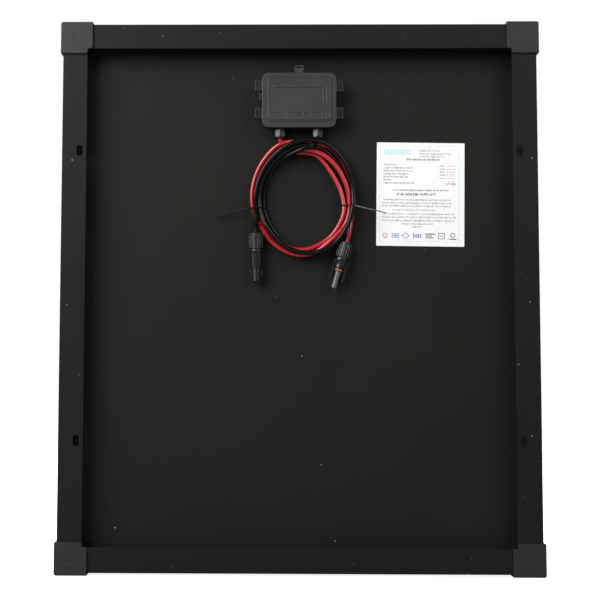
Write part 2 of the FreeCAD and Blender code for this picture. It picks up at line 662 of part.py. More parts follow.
# -------------------------------------------------------------------- cables
# Cable centre lines, (x, y, z), from the gland through the coil to the connector
BLACK_PATH = [
    (21.70, 0.40, 506.00), (21.70, 0.40, 499.99), (21.72, 0.45, 493.99),
    (21.34, -0.54, 491.21), (20.37, -2.42, 489.10), (18.88, -4.44, 487.45),
    (16.85, -6.03, 485.93), (14.30, -7.16, 484.43), (10.99, -7.92, 482.83),
    (7.07, -8.22, 481.15), (3.03, -7.95, 479.47), (-0.90, -7.12, 477.83),
    (-5.76, -5.46, 475.94), (-13.24, -2.65, 473.06), (-17.53, -1.02, 470.81),
    (-21.74, 0.59, 467.95), (-25.42, 1.94, 464.80), (-28.52, 2.95, 461.48),
    (-31.23, 3.67, 457.83), (-33.70, 4.14, 453.64), (-35.93, 4.43, 448.79),
    (-37.86, 4.58, 443.24), (-39.39, 4.62, 437.08), (-40.43, 4.62, 430.50),
    (-40.91, 4.62, 423.78), (-40.79, 4.62, 417.43), (-40.13, 4.62, 412.01),
    (-38.99, 4.62, 407.31), (-36.84, 4.62, 401.29), (-34.31, 4.62, 395.82),
    (-30.14, 4.62, 388.41), (-26.91, 4.62, 383.88), (-23.09, 4.62, 379.53),
    (-18.53, 4.62, 375.22), (-13.92, 4.62, 371.66), (-9.44, 4.62, 368.91),
    (-5.06, 4.62, 366.88), (-0.72, 4.62, 365.49), (3.73, 4.62, 364.68),
    (8.52, 4.62, 364.40), (13.95, 4.62, 364.70), (19.79, 4.62, 365.59),
    (24.42, 4.62, 366.85), (28.36, 4.62, 368.50), (32.15, 4.62, 370.73),
    (36.17, 4.62, 373.79), (41.36, 4.62, 378.58), (44.33, 4.62, 382.15),
    (46.70, 4.62, 385.88), (48.85, 4.62, 390.43), (50.57, 4.62, 395.35),
    (52.63, 4.62, 403.32), (54.29, 4.62, 411.65), (55.24, 4.62, 419.50),
    (55.48, 4.62, 426.06), (55.12, 4.61, 432.05), (54.17, 4.57, 438.22),
    (52.62, 4.45, 444.53), (50.50, 4.25, 450.71), (47.91, 3.96, 456.55),
    (44.88, 3.57, 461.97), (41.37, 3.12, 467.06), (37.59, 2.66, 471.54),
    (33.67, 2.21, 475.31), (29.62, 1.77, 478.41), (25.49, 1.33, 480.87),
    (21.26, 0.80, 482.73), (15.70, -0.33, 484.57), (12.67, -1.43, 485.30),
    (9.41, -2.77, 485.53), (5.84, -4.04, 485.21), (1.29, -5.24, 484.30),
    (-4.07, -6.26, 482.80), (-7.99, -6.77, 481.24), (-11.75, -6.89, 479.24),
    (-15.55, -6.47, 476.90), (-20.33, -5.41, 473.57), (-24.72, -4.13, 469.88),
    (-28.75, -2.86, 465.75), (-32.35, -1.80, 461.30), (-35.51, -1.01, 456.56),
    (-38.23, -0.56, 451.63), (-40.50, -0.39, 446.49), (-42.53, -0.37, 440.45),
    (-43.87, -0.37, 434.64), (-44.63, -0.37, 428.75), (-44.86, -0.45, 422.56),
    (-44.52, -0.75, 415.13), (-43.76, -1.05, 409.70), (-42.53, -1.57, 404.65),
    (-40.87, -2.48, 399.66), (-38.48, -3.78, 394.15), (-36.26, -4.54, 389.99),
    (-33.62, -4.82, 385.79), (-29.96, -4.97, 380.95), (-26.02, -5.27, 376.63),
    (-21.63, -5.76, 372.64), (-16.93, -6.25, 369.13), (-12.18, -6.55, 366.27),
    (-7.36, -6.66, 364.00), (-2.45, -6.60, 362.29), (2.57, -6.48, 361.15),
    (7.63, -6.39, 360.59), (12.69, -6.45, 360.58), (17.77, -6.72, 361.12),
    (23.11, -7.17, 362.25), (26.84, -7.31, 363.44), (30.69, -7.02, 365.16),
    (35.49, -6.42, 367.93), (39.40, -5.97, 370.86), (42.91, -5.83, 374.10),
    (46.52, -6.08, 378.07), (49.82, -6.43, 382.40), (52.29, -6.43, 386.39),
    (54.81, -6.00, 391.36), (57.65, -5.36, 398.13), (59.74, -5.00, 404.53),
    (61.54, -4.71, 411.80), (62.47, -4.21, 417.49), (62.90, -3.40, 423.38),
    (62.95, -2.71, 429.93), (62.62, -2.56, 435.54), (61.86, -2.83, 441.26),
    (60.57, -3.41, 447.28), (58.71, -4.16, 453.30), (56.34, -4.93, 459.02),
    (53.50, -5.67, 464.35), (50.23, -6.38, 469.30), (46.53, -7.08, 473.84),
    (42.45, -7.74, 477.93), (38.11, -8.37, 481.48), (33.62, -8.96, 484.41),
    (29.06, -9.49, 486.71), (24.46, -9.94, 488.39), (19.84, -10.29, 489.48),
    (15.48, -10.44, 489.98), (10.42, -10.44, 489.95), (5.01, -10.43, 489.33),
    (-0.48, -10.55, 488.15), (-6.28, -10.83, 486.30), (-11.58, -10.96, 484.06),
    (-16.23, -10.67, 481.55), (-20.71, -9.99, 478.61), (-25.46, -8.92, 474.91),
    (-29.96, -7.65, 470.69), (-34.18, -6.37, 465.96), (-37.83, -5.32, 461.05),
    (-40.86, -4.58, 456.11), (-43.39, -4.20, 451.09), (-45.61, -4.15, 445.63),
    (-47.37, -4.19, 439.83), (-48.70, -4.06, 433.51), (-49.65, -3.56, 426.89),
    (-50.17, -2.70, 420.06), (-50.17, -1.82, 413.38), (-50.00, -1.37, 406.65),
    (-49.76, -1.03, 398.16), (-49.43, -0.17, 389.71), (-49.37, -0.09, 387.29),
    (-49.27, -0.10, 381.29), (-49.11, -0.10, 372.29), (-48.96, -0.10, 363.29),
]
RED_PATH = [
    (-21.70, 0.40, 505.99), (-21.70, 0.40, 499.99), (-21.71, 0.38, 493.99),
    (-21.45, 0.75, 491.03), (-20.71, 1.55, 488.24), (-19.44, 2.58, 485.72),
    (-17.64, 3.60, 483.55), (-15.35, 4.36, 481.78), (-12.69, 4.62, 480.42),
    (-9.11, 4.62, 479.23), (-4.56, 4.62, 478.40), (2.17, 4.62, 477.83),
    (10.65, 4.62, 477.24), (15.00, 4.57, 476.48), (18.33, 4.46, 475.36),
    (21.25, 4.30, 473.80), (24.08, 4.05, 471.59), (27.06, 3.70, 468.46),
    (30.66, 3.16, 463.71), (35.37, 2.38, 456.68), (39.76, 1.65, 449.44),
    (43.73, 1.00, 441.95), (46.83, 0.48, 434.88), (49.06, 0.03, 428.37),
    (50.51, -0.40, 422.36), (51.29, -0.79, 416.74), (51.44, -1.08, 411.56),
    (51.04, -1.18, 407.09), (50.18, -1.07, 403.23), (48.71, -0.67, 399.19),
    (46.32, 0.13, 394.27), (43.13, 0.93, 388.80), (40.15, 1.17, 384.56),
    (36.74, 1.17, 380.62), (32.87, 1.11, 377.04), (28.54, 0.95, 373.88),
    (24.14, 0.55, 371.29), (18.05, -0.42, 368.22), (12.94, -1.04, 366.12),
    (9.00, -1.27, 365.04), (4.82, -1.35, 364.48), (0.48, -1.29, 364.46),
    (-3.90, -1.16, 365.03), (-8.41, -0.97, 366.20), (-13.03, -0.68, 368.00),
    (-17.73, -0.25, 370.45), (-22.27, 0.27, 373.46), (-26.63, 0.70, 377.03),
    (-30.16, 0.94, 380.62), (-33.29, 1.05, 384.62), (-36.57, 1.36, 389.68),
    (-39.32, 2.16, 393.97), (-41.58, 3.12, 398.10), (-43.62, 4.00, 402.94),
    (-45.23, 4.49, 407.83), (-46.66, 4.62, 413.52), (-47.53, 4.62, 419.22),
    (-47.79, 4.62, 424.64), (-47.47, 4.62, 430.29), (-46.54, 4.62, 436.23),
    (-45.01, 4.62, 442.33), (-42.90, 4.62, 448.37), (-40.16, 4.62, 454.43),
    (-36.95, 4.51, 460.18), (-33.75, 4.12, 464.94), (-30.49, 3.40, 469.01),
    (-27.09, 2.37, 472.53), (-23.58, 1.16, 475.44), (-20.09, 0.00, 477.64),
    (-16.78, -0.83, 479.13), (-13.74, -1.19, 480.09), (-9.90, -1.05, 480.85),
    (-4.97, -0.64, 481.24), (0.71, -0.28, 481.14), (5.75, -0.31, 480.61),
    (11.46, -0.79, 479.59), (19.69, -1.63, 477.68), (23.72, -1.81, 476.19),
    (27.84, -1.86, 474.04), (32.13, -1.85, 471.12), (36.37, -1.79, 467.55),
    (40.36, -1.70, 463.41), (44.04, -1.62, 458.76), (47.42, -1.54, 453.55),
    (50.43, -1.47, 447.83), (53.03, -1.40, 441.66), (55.15, -1.31, 435.12),
    (56.69, -1.16, 428.54), (57.54, -0.90, 422.48), (57.83, -0.50, 416.23),
    (57.56, -0.14, 410.56), (56.78, 0.03, 405.55), (55.51, -0.07, 400.72),
    (53.93, -0.43, 396.56), (51.63, -1.10, 392.11), (49.16, -1.84, 388.45),
    (45.73, -2.67, 384.45), (40.95, -3.35, 379.61), (35.92, -3.53, 374.98),
    (30.66, -3.19, 370.43), (26.33, -2.45, 366.85), (22.02, -1.42, 363.77),
    (18.52, -0.51, 361.96), (14.59, 0.40, 360.62), (9.57, 1.33, 359.53),
    (4.83, 2.01, 359.04), (0.43, 2.53, 359.15), (-4.11, 2.99, 359.84),
    (-8.95, 3.42, 361.18), (-14.05, 3.83, 363.20), (-19.25, 4.18, 365.88),
    (-24.35, 4.44, 369.15), (-29.28, 4.58, 372.99), (-33.48, 4.62, 376.96),
    (-36.35, 4.62, 380.42), (-38.91, 4.62, 384.48), (-40.69, 4.65, 387.45),
    (-44.76, 4.61, 392.39), (-46.98, 4.62, 396.08), (-48.98, 4.62, 400.61),
    (-50.87, 4.62, 406.31), (-52.54, 4.59, 413.30), (-53.49, 4.50, 419.63),
    (-53.84, 4.33, 425.82), (-53.61, 4.09, 432.04), (-52.81, 3.78, 438.29),
    (-51.43, 3.39, 444.54), (-49.49, 2.90, 450.68), (-47.02, 2.28, 456.63),
    (-44.08, 1.49, 462.28), (-40.70, 0.51, 467.61), (-36.85, -0.68, 472.66),
    (-32.47, -2.01, 477.47), (-28.18, -3.10, 481.39), (-24.64, -3.68, 483.96),
    (-21.55, -3.89, 485.64), (-18.44, -3.76, 486.80), (-14.54, -3.11, 487.84),
    (-10.73, -1.98, 488.78), (-6.55, -0.47, 489.31), (-1.30, 1.46, 489.36),
    (4.31, 3.15, 489.00), (9.36, 4.12, 488.47), (14.74, 4.59, 487.73),
    (19.57, 4.62, 487.41), (24.05, 4.62, 486.91), (28.10, 4.60, 485.88),
    (32.10, 4.57, 484.28), (35.98, 4.53, 482.08), (39.71, 4.50, 479.30),
    (43.26, 4.49, 475.91), (46.62, 4.50, 471.91), (49.75, 4.53, 467.25),
    (52.66, 4.57, 461.88), (55.30, 4.60, 455.77), (57.65, 4.62, 448.87),
    (59.64, 4.62, 441.22), (61.18, 4.62, 433.03), (62.14, 4.59, 424.81),
    (62.48, 4.38, 417.13), (62.29, 3.92, 409.89), (61.61, 3.18, 402.82),
    (60.39, 2.14, 395.50), (58.50, 0.87, 387.31), (56.27, -0.02, 379.19),
    (55.42, -0.11, 376.24), (53.74, -0.10, 370.48), (51.22, -0.10, 361.84),
    (48.70, -0.10, 353.20),
]


def interpolated(points):
    spline = Part.BSplineCurve()
    spline.interpolate(points)
    return spline


def start_circle(spline, start, radius):
    """Circular wire square to the start of a curve."""
    tangent = spline.tangent(spline.FirstParameter)[0]
    return Part.Wire(Part.Circle(start, tangent, radius).toShape())


def cable_curve(path, gland_x, top, seat, end):
    """Path extended up to z = top in the box and to a distance inside the connector."""
    position, direction = seat
    points = [Vector(gland_x, GLAND_Y, top)] + [Vector(*q) for q in path]
    return interpolated(points + [Vector(*position) + Vector(*direction) * end])


def tube(spline, radius):
    pipe = Part.BRepOffsetAPI.MakePipeShell(Part.Wire(spline.toShape()))
    pipe.setBiNormalMode(Vector(0, 1, 0))
    pipe.setMaxSegments(2000)
    pipe.setTolerance(1e-3, 1e-3, 1e-2)
    start = spline.value(spline.FirstParameter)
    pipe.add(start_circle(spline, start, radius), False, False)
    pipe.build()
    pipe.makeSolid()
    return pipe.shape()


def cable_jacket(path, gland_x, seat):
    # the jacket ends before the last point of the path
    spline = cable_curve(path[:-1], gland_x, 509.0, seat, 18.5)
    return tube(spline, CABLE_R).cut(tube(spline, CORE_R + 0.06))


def cable_core(path, gland_x, seat):
    return tube(cable_curve(path, gland_x, 517.5, seat, 25.5), CORE_R)


# ---------------------------------------------------------------- cable ties
# strands: (x, y) of the cable strands inside the band; tail: (x, y, z)
LEFT_TIE = dict(
    z=412.9,
    strands=[(-40.29, 4.61), (-44.28, -0.86), (-50.16, -1.77), (-46.51, 4.62), (-52.45, 4.60)],
    knot=(-55.0, 0.1, 412.7),
    tail=[(-55.2, 0.0, 412.7), (-58.5, 0.4, 412.4), (-64.0, 1.8, 410.6),
          (-73.0, 3.6, 407.9), (-83.5, 4.6, 404.0), (-93.7, 4.2, 398.6)])
RIGHT_TIE = dict(
    z=415.4,
    strands=[(54.83, 4.62), (62.19, -4.45), (51.38, -0.82), (57.82, -0.46), (62.48, 4.30)],
    knot=(63.6, -8.1, 415.4),
    tail=[(63.9, -8.3, 415.4), (67.5, -8.6, 415.2), (73.0, -7.6, 414.3),
          (81.0, -4.8, 412.6), (90.5, -1.2, 410.2), (100.1, 0.6, 406.8)])


def convex_hull(points):
    def left_turn(a, b, c):
        return (b[0] - a[0]) * (c[1] - a[1]) - (b[1] - a[1]) * (c[0] - a[0]) > 0

    def half(ordered):
        out = []
        for q in ordered:
            while len(out) > 1 and not left_turn(out[-2], out[-1], q):
                out.pop()
            out.append(q)
        return out[:-1]

    ordered = sorted(points)
    return half(ordered) + half(ordered[::-1])


def rounded_hull(centres, radius, z0, z1):
    """Stretched band outline: circles around the outer strands and what lies between."""
    corners = convex_hull(centres)
    shapes = [prism_z(corners, z0, z1)]
    for a, b in zip(corners, corners[1:] + corners[:1]):
        dx, dy = b[0] - a[0], b[1] - a[1]
        length = math.hypot(dx, dy)
        out_x, out_y = dy / length * radius, -dx / length * radius
        side = [a, b, (b[0] + out_x, b[1] + out_y), (a[0] + out_x, a[1] + out_y)]
        shapes.append(prism_z(side, z0, z1))
        shapes.append(cylinder((a[0], a[1], z0), (0, 0, 1), radius, z1 - z0))
    return fuse(shapes)


def twisted_tail(points):
    """Two wires wound round each other along a gentle curve."""
    wire_r, offset, turns_per_mm, step = 0.55, 0.5, 0.22, 0.9
    centre_line = interpolated([Vector(*q) for q in points])
    length = centre_line.length()
    count = max(12, int(length / step))
    out = []
    for phase in (0.0, math.pi):
        helix = []
        for i in range(count + 1):
            distance = length * i / count
            u = centre_line.parameterAtDistance(distance, centre_line.FirstParameter)
            tangent = centre_line.tangent(u)[0]
            normal = Vector(0, 1, 0) - tangent * tangent.y
            normal.normalize()
            binormal = tangent.cross(normal)
            angle = 2 * math.pi * turns_per_mm * distance + phase
            helix.append(centre_line.value(u) + normal * (offset * math.cos(angle))
                         + binormal * (offset * math.sin(angle)))
        spline = interpolated(helix)
        disc = Part.Face(start_circle(spline, helix[0], wire_r))
        out.append(Part.Wire(spline.toShape()).makePipe(disc))
    return out


def tie(strands, z, knot, tail):
    """Band around the strands with a knot and a twisted tail."""
    inner = rounded_hull(strands, 3.06, z - 2, z + 2)
    band = rounded_hull(strands, 3.8, z - 0.9, z + 0.9).cut(inner)
    lump = Part.makeSphere(1.35, Vector(*knot)).cut(inner)
    return Part.makeCompound([fuse([band, lump])] + twisted_tail(tail))


# -------------------------------------------------------------------- pieces
pieces = {
    "frame_rail_left": upright_rail(-1),
    "frame_rail_right": upright_rail(1),
    "frame_rail_top": level_rail(FRAME_TOP, -1),
    "frame_rail_bottom": level_rail(FRAME_BOTTOM, 1),
    "corner_keys": corner_keys(),
    "corner_cap_top_left": corner_cap(-1, top=True),
    "corner_cap_top_right": corner_cap(1, top=True),
    "corner_cap_bottom_left": corner_cap(-1, top=False),
    "corner_cap_bottom_right": corner_cap(1, top=False),
    "edge_seal": edge_seal(),
    "front_glass": front_glass(),
    "solar_cells": cells(),
    "cell_ribbons": cell_ribbons(),
    "bus_ribbons": bus_ribbons(),
    "front_encapsulant": front_encapsulant(),
    "rear_encapsulant": rear_encapsulant(),
    "backsheet": backsheet(),
    "rating_label": rating_label(),
    "box_adhesive_pad": adhesive_pad(),
    "junction_box_base": box_base(),
    "junction_box_gasket": gasket(),
    "junction_box_lid": box_lid(),
    "terminal_negative": cable_terminal(GLAND_X),
    "terminal_centre": centre_terminal(),
    "terminal_positive": cable_terminal(-GLAND_X),
    "terminal_screws": terminal_screws(),
    "bypass_diode_1": bypass_diode(-GLAND_X / 2),
    "bypass_diode_2": bypass_diode(GLAND_X / 2),
    "socket_connector_oring": placed(socket_oring(), *SOCKET_SEAT),
    "socket_latch_left": placed(latch_arm(1), *SOCKET_SEAT),
    "socket_latch_right": placed(latch_arm(-1), *SOCKET_SEAT),
    "tie_left": tie(**LEFT_TIE),
    "tie_right": tie(**RIGHT_TIE),
}
for name, *route in (("black", BLACK_PATH, GLAND_X, PIN_SEAT),
                     ("red", RED_PATH, -GLAND_X, SOCKET_SEAT)):
    pieces["cable_%s_jacket" % name] = cable_jacket(*route)
    pieces["cable_%s_core" % name] = cable_core(*route)
for name, seat, housing, contact, nut_radius in (
        ("pin", PIN_SEAT, pin_housing, pin_contact, 8.1),
        ("socket", SOCKET_SEAT, socket_housing, socket_contact, 8.4)):
    pieces[name + "_connector_housing"] = placed(housing(), *seat)
    pieces[name + "_connector_nut"] = placed(coupling_nut(nut_radius), *seat)
    pieces[name + "_connector_collet"] = placed(coupling_collet(), *seat)
    pieces[name + "_connector_seal"] = placed(coupling_seal(), *seat)
    pieces[name + "_contact"] = placed(contact(), *seat)
for name, x in (("left", -GLAND_X), ("right", GLAND_X)):
    pieces["gland_nut_" + name] = gland_nut(x)
    pieces["gland_collet_" + name] = gland_collet(x)
    pieces["gland_seal_" + name] = gland_seal(x)

os.makedirs("parts", exist_ok=True)
for name, shape in pieces.items():
    shape.exportStep("parts/%s.step" % name)
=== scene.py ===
# A framed solar panel standing upright, seen from behind.
# X runs across the panel, Z is up, the glass faces +Y and the back, with its junction box,
# coiled leads and rating label, faces -Y. Left is -X. Tables of places and sizes are in
# millimetres and become metres through MM; lengths inside shaders are in metres.
import math
import random

import bpy
import bmesh
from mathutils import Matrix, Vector


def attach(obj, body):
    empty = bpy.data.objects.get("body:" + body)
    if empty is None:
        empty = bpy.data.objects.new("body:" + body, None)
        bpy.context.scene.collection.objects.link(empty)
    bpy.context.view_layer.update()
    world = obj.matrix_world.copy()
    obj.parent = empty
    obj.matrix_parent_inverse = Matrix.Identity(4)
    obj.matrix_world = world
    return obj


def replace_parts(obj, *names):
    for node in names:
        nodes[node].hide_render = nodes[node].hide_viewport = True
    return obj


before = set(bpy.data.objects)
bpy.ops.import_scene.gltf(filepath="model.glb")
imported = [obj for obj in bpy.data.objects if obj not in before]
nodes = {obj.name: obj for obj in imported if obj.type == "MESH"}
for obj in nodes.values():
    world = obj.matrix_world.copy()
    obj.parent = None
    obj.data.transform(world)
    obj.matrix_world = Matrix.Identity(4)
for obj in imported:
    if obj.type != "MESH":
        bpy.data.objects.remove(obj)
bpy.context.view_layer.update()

scene = bpy.context.scene
rng = random.Random(7)
MM = 0.001

# Where each lead's connector starts and the way it points, away from the cable.
PIN_ORIGIN, PIN_DIRECTION = (-49.30, -0.10, 383.30), (0.016998, 0.0, -0.999856)
SOCKET_ORIGIN, SOCKET_DIRECTION = (54.30, -0.10, 372.40), (-0.28, 0.0, -0.96)

MATERIALS = {}


# ------------------------------------------------------------------ shader kit
def scaled(color, factor):
    return tuple(v * factor for v in color)


def srgb(*channels):
    """Linear colour from 0-255 display values."""
    parts = [v / 255 for v in channels]
    return tuple(v / 12.92 if v <= 0.04045 else ((v + 0.055) / 1.055) ** 2.4 for v in parts)


class Shader:
    """Node tree round one Principled shader; its material goes into MATERIALS."""

    INPUTS = {"color": "Base Color", "rough": "Roughness",
              "specular": "Specular IOR Level", "metallic": "Metallic"}

    def __init__(self, name):
        material = bpy.data.materials.new(name)
        material.use_nodes = True
        MATERIALS[name] = material
        self.tree = material.node_tree
        self.tree.nodes.clear()
        self.output = self.node("ShaderNodeOutputMaterial")
        self.principled = self.node("ShaderNodeBsdfPrincipled")
        self.link(self.principled.outputs[0], self.output.inputs[0])
        self.coords = self.node("ShaderNodeTexCoord").outputs["Object"]

    def node(self, kind, props=None, **inputs):
        made = self.tree.nodes.new(kind)
        for key, value in (props or {}).items():
            setattr(made, key, value)
        for key, value in inputs.items():
            made.inputs[key].default_value = value
        return made

    def link(self, source, socket):
        self.tree.links.new(source, socket)

    def feed(self, socket, value):
        """Give a socket a number, an RGB colour or another node's output."""
        if isinstance(value, (int, float)):
            socket.default_value = value
        elif isinstance(value, tuple):
            socket.default_value = (*value, 1.0)
        else:
            self.link(value, socket)

    def set(self, **values):
        for key, value in values.items():
            self.feed(self.principled.inputs[self.INPUTS[key]], value)

    # patterns
    def noise(self, scale, detail=3.0, rough=0.55, coords=None):
        made = self.node("ShaderNodeTexNoise", Scale=scale, Detail=detail, Roughness=rough)
        self.link(coords or self.coords, made.inputs["Vector"])
        return made.outputs["Fac"]

    def streaks(self, stretch, detail, rough, coords=None):
        """Noise with its own scale along each axis."""
        mapping = self.node("ShaderNodeMapping", Scale=stretch)
        self.link(coords or self.coords, mapping.inputs[0])
        return self.noise(1.0, detail, rough, mapping.outputs[0])

    def voronoi(self, scale):
        made = self.node("ShaderNodeTexVoronoi", Scale=scale)
        self.link(self.coords, made.inputs["Vector"])
        return made.outputs["Distance"]

    def specks(self, scale, radius, pick_scale, pick_above):
        """Round spots, kept only where a coarser noise is high."""
        spots = self.voronoi(scale)
        pick = self.noise(pick_scale, detail=0.0, rough=0.0)
        return self.mul(self.calc("LESS_THAN", spots, radius), self.above(pick, pick_above))

    # arithmetic
    def calc(self, operation, first, second=0.5):
        made = self.node("ShaderNodeMath", {"operation": operation})
        self.feed(made.inputs[0], first)
        self.feed(made.inputs[1], second)
        return made.outputs[0]

    def add(self, first, second):
        return self.calc("ADD", first, second)

    def sub(self, first, second):
        return self.calc("SUBTRACT", first, second)

    def mul(self, value, weight):
        return self.calc("MULTIPLY", value, weight)

    def above(self, value, limit):
        return self.calc("GREATER_THAN", value, limit)

    def vary(self, field, swing, low):
        return self.add(self.mul(field, swing), low)

    def dot(self, vector):
        """Dot-product node with its first side linked."""
        made = self.node("ShaderNodeVectorMath", {"operation": "DOT_PRODUCT"})
        self.link(vector, made.inputs[0])
        return made

    def ramp(self, field, start, end, low=0.0, high=1.0):
        """Grey ramp from low at start to high at end."""
        made = self.node("ShaderNodeValToRGB")
        stops = made.color_ramp.elements
        while len(stops) > 1:
            stops.remove(stops[-1])
        stops[0].position = start
        stops[0].color = (low, low, low, 1.0)
        stops.new(end).color = (high, high, high, 1.0)
        self.link(field, made.inputs[0])
        return made.outputs[0]

    def mix(self, amount, first, second, mode="MIX"):
        made = self.node("ShaderNodeMix", {"data_type": "RGBA", "blend_type": mode})
        for socket, value in ((0, amount), (6, first), (7, second)):
            self.feed(made.inputs[socket], value)
        return made.outputs[2]

    def fade(self, field, start, end, first, second, high=1.0):
        """Colour going from first to second as the field climbs from start to end."""
        return self.mix(self.ramp(field, start, end, high=high), first, second)

    def mix_shader(self, amount, first, second):
        made = self.node("ShaderNodeMixShader")
        for socket, source in enumerate((amount, first, second)):
            self.link(source, made.inputs[socket])
        self.link(made.outputs[0], self.output.inputs[0])

    # geometry
    def xyz(self):
        made = self.node("ShaderNodeSeparateXYZ")
        self.link(self.coords, made.inputs[0])
        return made.outputs

    def along(self, origin, direction):
        """Distance in metres along an axis from a point given in mm."""
        offset = self.node("ShaderNodeVectorMath", {"operation": "SUBTRACT"})
        self.link(self.coords, offset.inputs[0])
        offset.inputs[1].default_value = scaled(origin, MM)
        made = self.dot(offset.outputs[0])
        made.inputs[1].default_value = direction
        return made.outputs["Value"]

    def bevel(self, radius):
        return self.node("ShaderNodeBevel", {"samples": 6}, Radius=radius).outputs[0]

    def bump(self, height, distance, strength, round_radius=None):
        """Surface relief, over softly rounded edges if a radius is given."""
        made = self.node("ShaderNodeBump", Distance=distance, Strength=strength)
        self.link(height, made.inputs["Height"])
        if round_radius:
            self.link(self.bevel(round_radius), made.inputs["Normal"])
        self.link(made.outputs[0], self.principled.inputs["Normal"])


# ------------------------------------------------------------------- materials
def anodised(name, stretch):
    """Black anodised extrusion: die lines along the rail, fine blast grain, dust."""
    base = (0.0102, 0.0099, 0.0093)
    m = Shader(name)
    lines = m.streaks(stretch, detail=4.0, rough=0.6)
    broad = m.streaks(scaled(stretch, 0.12), detail=2.0, rough=0.5)
    grain = m.noise(scale=5200.0, detail=2.0, rough=0.6)
    cloud = m.noise(scale=9.0, rough=0.6)
    color = m.fade(lines, start=0.3, end=0.7, first=scaled(base, 0.86), second=scaled(base, 1.16))
    color = m.fade(cloud, start=0.35, end=0.7, high=0.35, first=color, second=scaled(base, 1.35))
    dust = m.specks(scale=46.0, radius=0.035, pick_scale=31.0, pick_above=0.60)
    color = m.mix(m.mul(dust, weight=0.55), color, (0.42, 0.41, 0.38))
    rough = m.vary(broad, swing=0.16, low=0.40)
    rough = m.add(rough, m.mul(dust, weight=0.3))
    m.set(color=color, rough=rough, specular=0.10)
    relief = m.add(m.mul(lines, weight=0.6), m.mul(grain, weight=0.5))
    m.bump(relief, distance=0.00006, strength=0.5, round_radius=0.0005)


def moulded(name, base, tint=None, rough=0.48, grain=2600.0, depth=0.00007, spec=0.45,
            edge=1.6, round_radius=0.0005, cloud=14.0, painted_zone=None, edge_highlight_zone=None):
    """Injection moulded plastic: spark-eroded grain, flow clouds, painted highlights on the edges.

    A zone function paints shade or a highlight on part of the piece; a mask brightens edge
    highlights."""
    m = Shader(name)
    fine = m.noise(scale=grain, rough=0.6)
    pits = m.voronoi(scale=grain * 0.55)
    clouds = m.noise(scale=cloud)
    color = m.fade(clouds, start=0.3, end=0.75,
                   first=scaled(base, 0.9), second=tint or scaled(base, 1.18))
    if painted_zone:
        color = painted_zone(m, color)
    # painted highlights on the edges: where the rounded normal leaves the flat one
    turn = m.dot(m.node("ShaderNodeNewGeometry").outputs["Normal"])
    m.link(m.bevel(round_radius * 1.3), turn.inputs[1])
    rim = m.ramp(m.sub(1.0, turn.outputs["Value"]), start=0.01, end=0.12)
    patches = m.ramp(m.noise(scale=180.0, detail=2.0), start=0.3, end=0.7, low=0.45)
    painted_highlight = m.mul(rim, patches)
    color = m.mix(painted_highlight, color, m.mix(1.0, color, (edge, edge, edge), "MULTIPLY"))
    # brighter painted edge highlights inside the second mask
    if edge_highlight_zone:
        color = m.mix(m.mul(painted_highlight, edge_highlight_zone(m)), color, (0.15, 0.15, 0.155))
    m.set(color=color, specular=spec,
          rough=m.vary(m.noise(scale=70.0, detail=2.0), swing=0.16, low=rough - 0.08))
    relief = m.add(m.mul(fine, weight=0.6), m.mul(pits, weight=0.4))
    m.bump(relief, distance=depth, strength=0.5, round_radius=round_radius)


def film(name):
    """Black backsheet film: fine matte emboss, soft laminate waves, dust."""
    base = (0.0110, 0.0104, 0.0088)
    m = Shader(name)
    emboss = m.noise(scale=3400.0, detail=2.0, rough=0.6)
    waves = m.streaks((16, 1, 16), detail=3.0, rough=0.5)
    cells = m.streaks((2.6, 1, 190), detail=2.0, rough=0.5)
    cloud = m.noise(scale=5.0, detail=4.0, rough=0.6)
    color = m.fade(cloud, start=0.3, end=0.7, first=scaled(base, 0.9), second=scaled(base, 1.14))
    color = m.mix(m.mul(emboss, weight=0.25), color, scaled(base, 1.5))
    # sparse dust and a few pale specks
    dust = m.specks(scale=110.0, radius=0.05, pick_scale=37.0, pick_above=0.60)
    pale_specks = m.specks(scale=24.0, radius=0.022, pick_scale=13.0, pick_above=0.55)
    color = m.mix(m.mul(dust, weight=0.16), color, (0.2, 0.2, 0.18))
    color = m.mix(m.mul(pale_specks, weight=0.6), color, (0.4, 0.4, 0.36))
    m.set(color=color, specular=0.10, rough=m.vary(m.noise(scale=26.0), swing=0.12, low=0.52))
    soft = m.add(m.mul(waves, weight=1.6), m.mul(cells, weight=0.25))
    m.bump(m.add(m.mul(emboss, weight=0.12), soft), distance=0.0004, strength=0.35)


def jacket(name, base, light, spec):
    """Cable jacket: satin skin, long drawn streaks, faint scuffs, painted shade on the sides turning
    away.
    """
    m = Shader(name)
    along_cable = m.node("ShaderNodeUVMap").outputs[0]
    streak = m.streaks((1400, 26, 1), detail=3.0, rough=0.6, coords=along_cable)
    cloud = m.noise(scale=42.0, rough=0.6)
    fine = m.noise(scale=1900.0, detail=2.0, rough=0.6)
    color = m.fade(streak, start=0.3, end=0.75, first=base, second=light)
    color = m.fade(cloud, start=0.45, end=0.8, high=0.35, first=color, second=scaled(base, 0.7))
    scuff = m.noise(scale=150.0, detail=5.0, rough=0.7)
    scuff = m.ramp(scuff, start=0.66, end=0.74, high=0.35)
    color = m.mix(m.mul(scuff, weight=0.6), color, scaled(light, 1.5))
    # painted shade: the skin is darkened where it turns away from the view
    facing = m.node("ShaderNodeLayerWeight", Blend=0.5).outputs["Facing"]
    turn = m.ramp(facing, start=0.25, end=0.85)
    color = m.mix(m.mul(turn, weight=0.85), color, scaled(base, 0.12))
    m.set(color=color, rough=m.vary(fine, swing=0.12, low=0.20), specular=spec)
    m.bump(m.add(fine, m.mul(streak, weight=0.5)), distance=0.00003, strength=0.4)


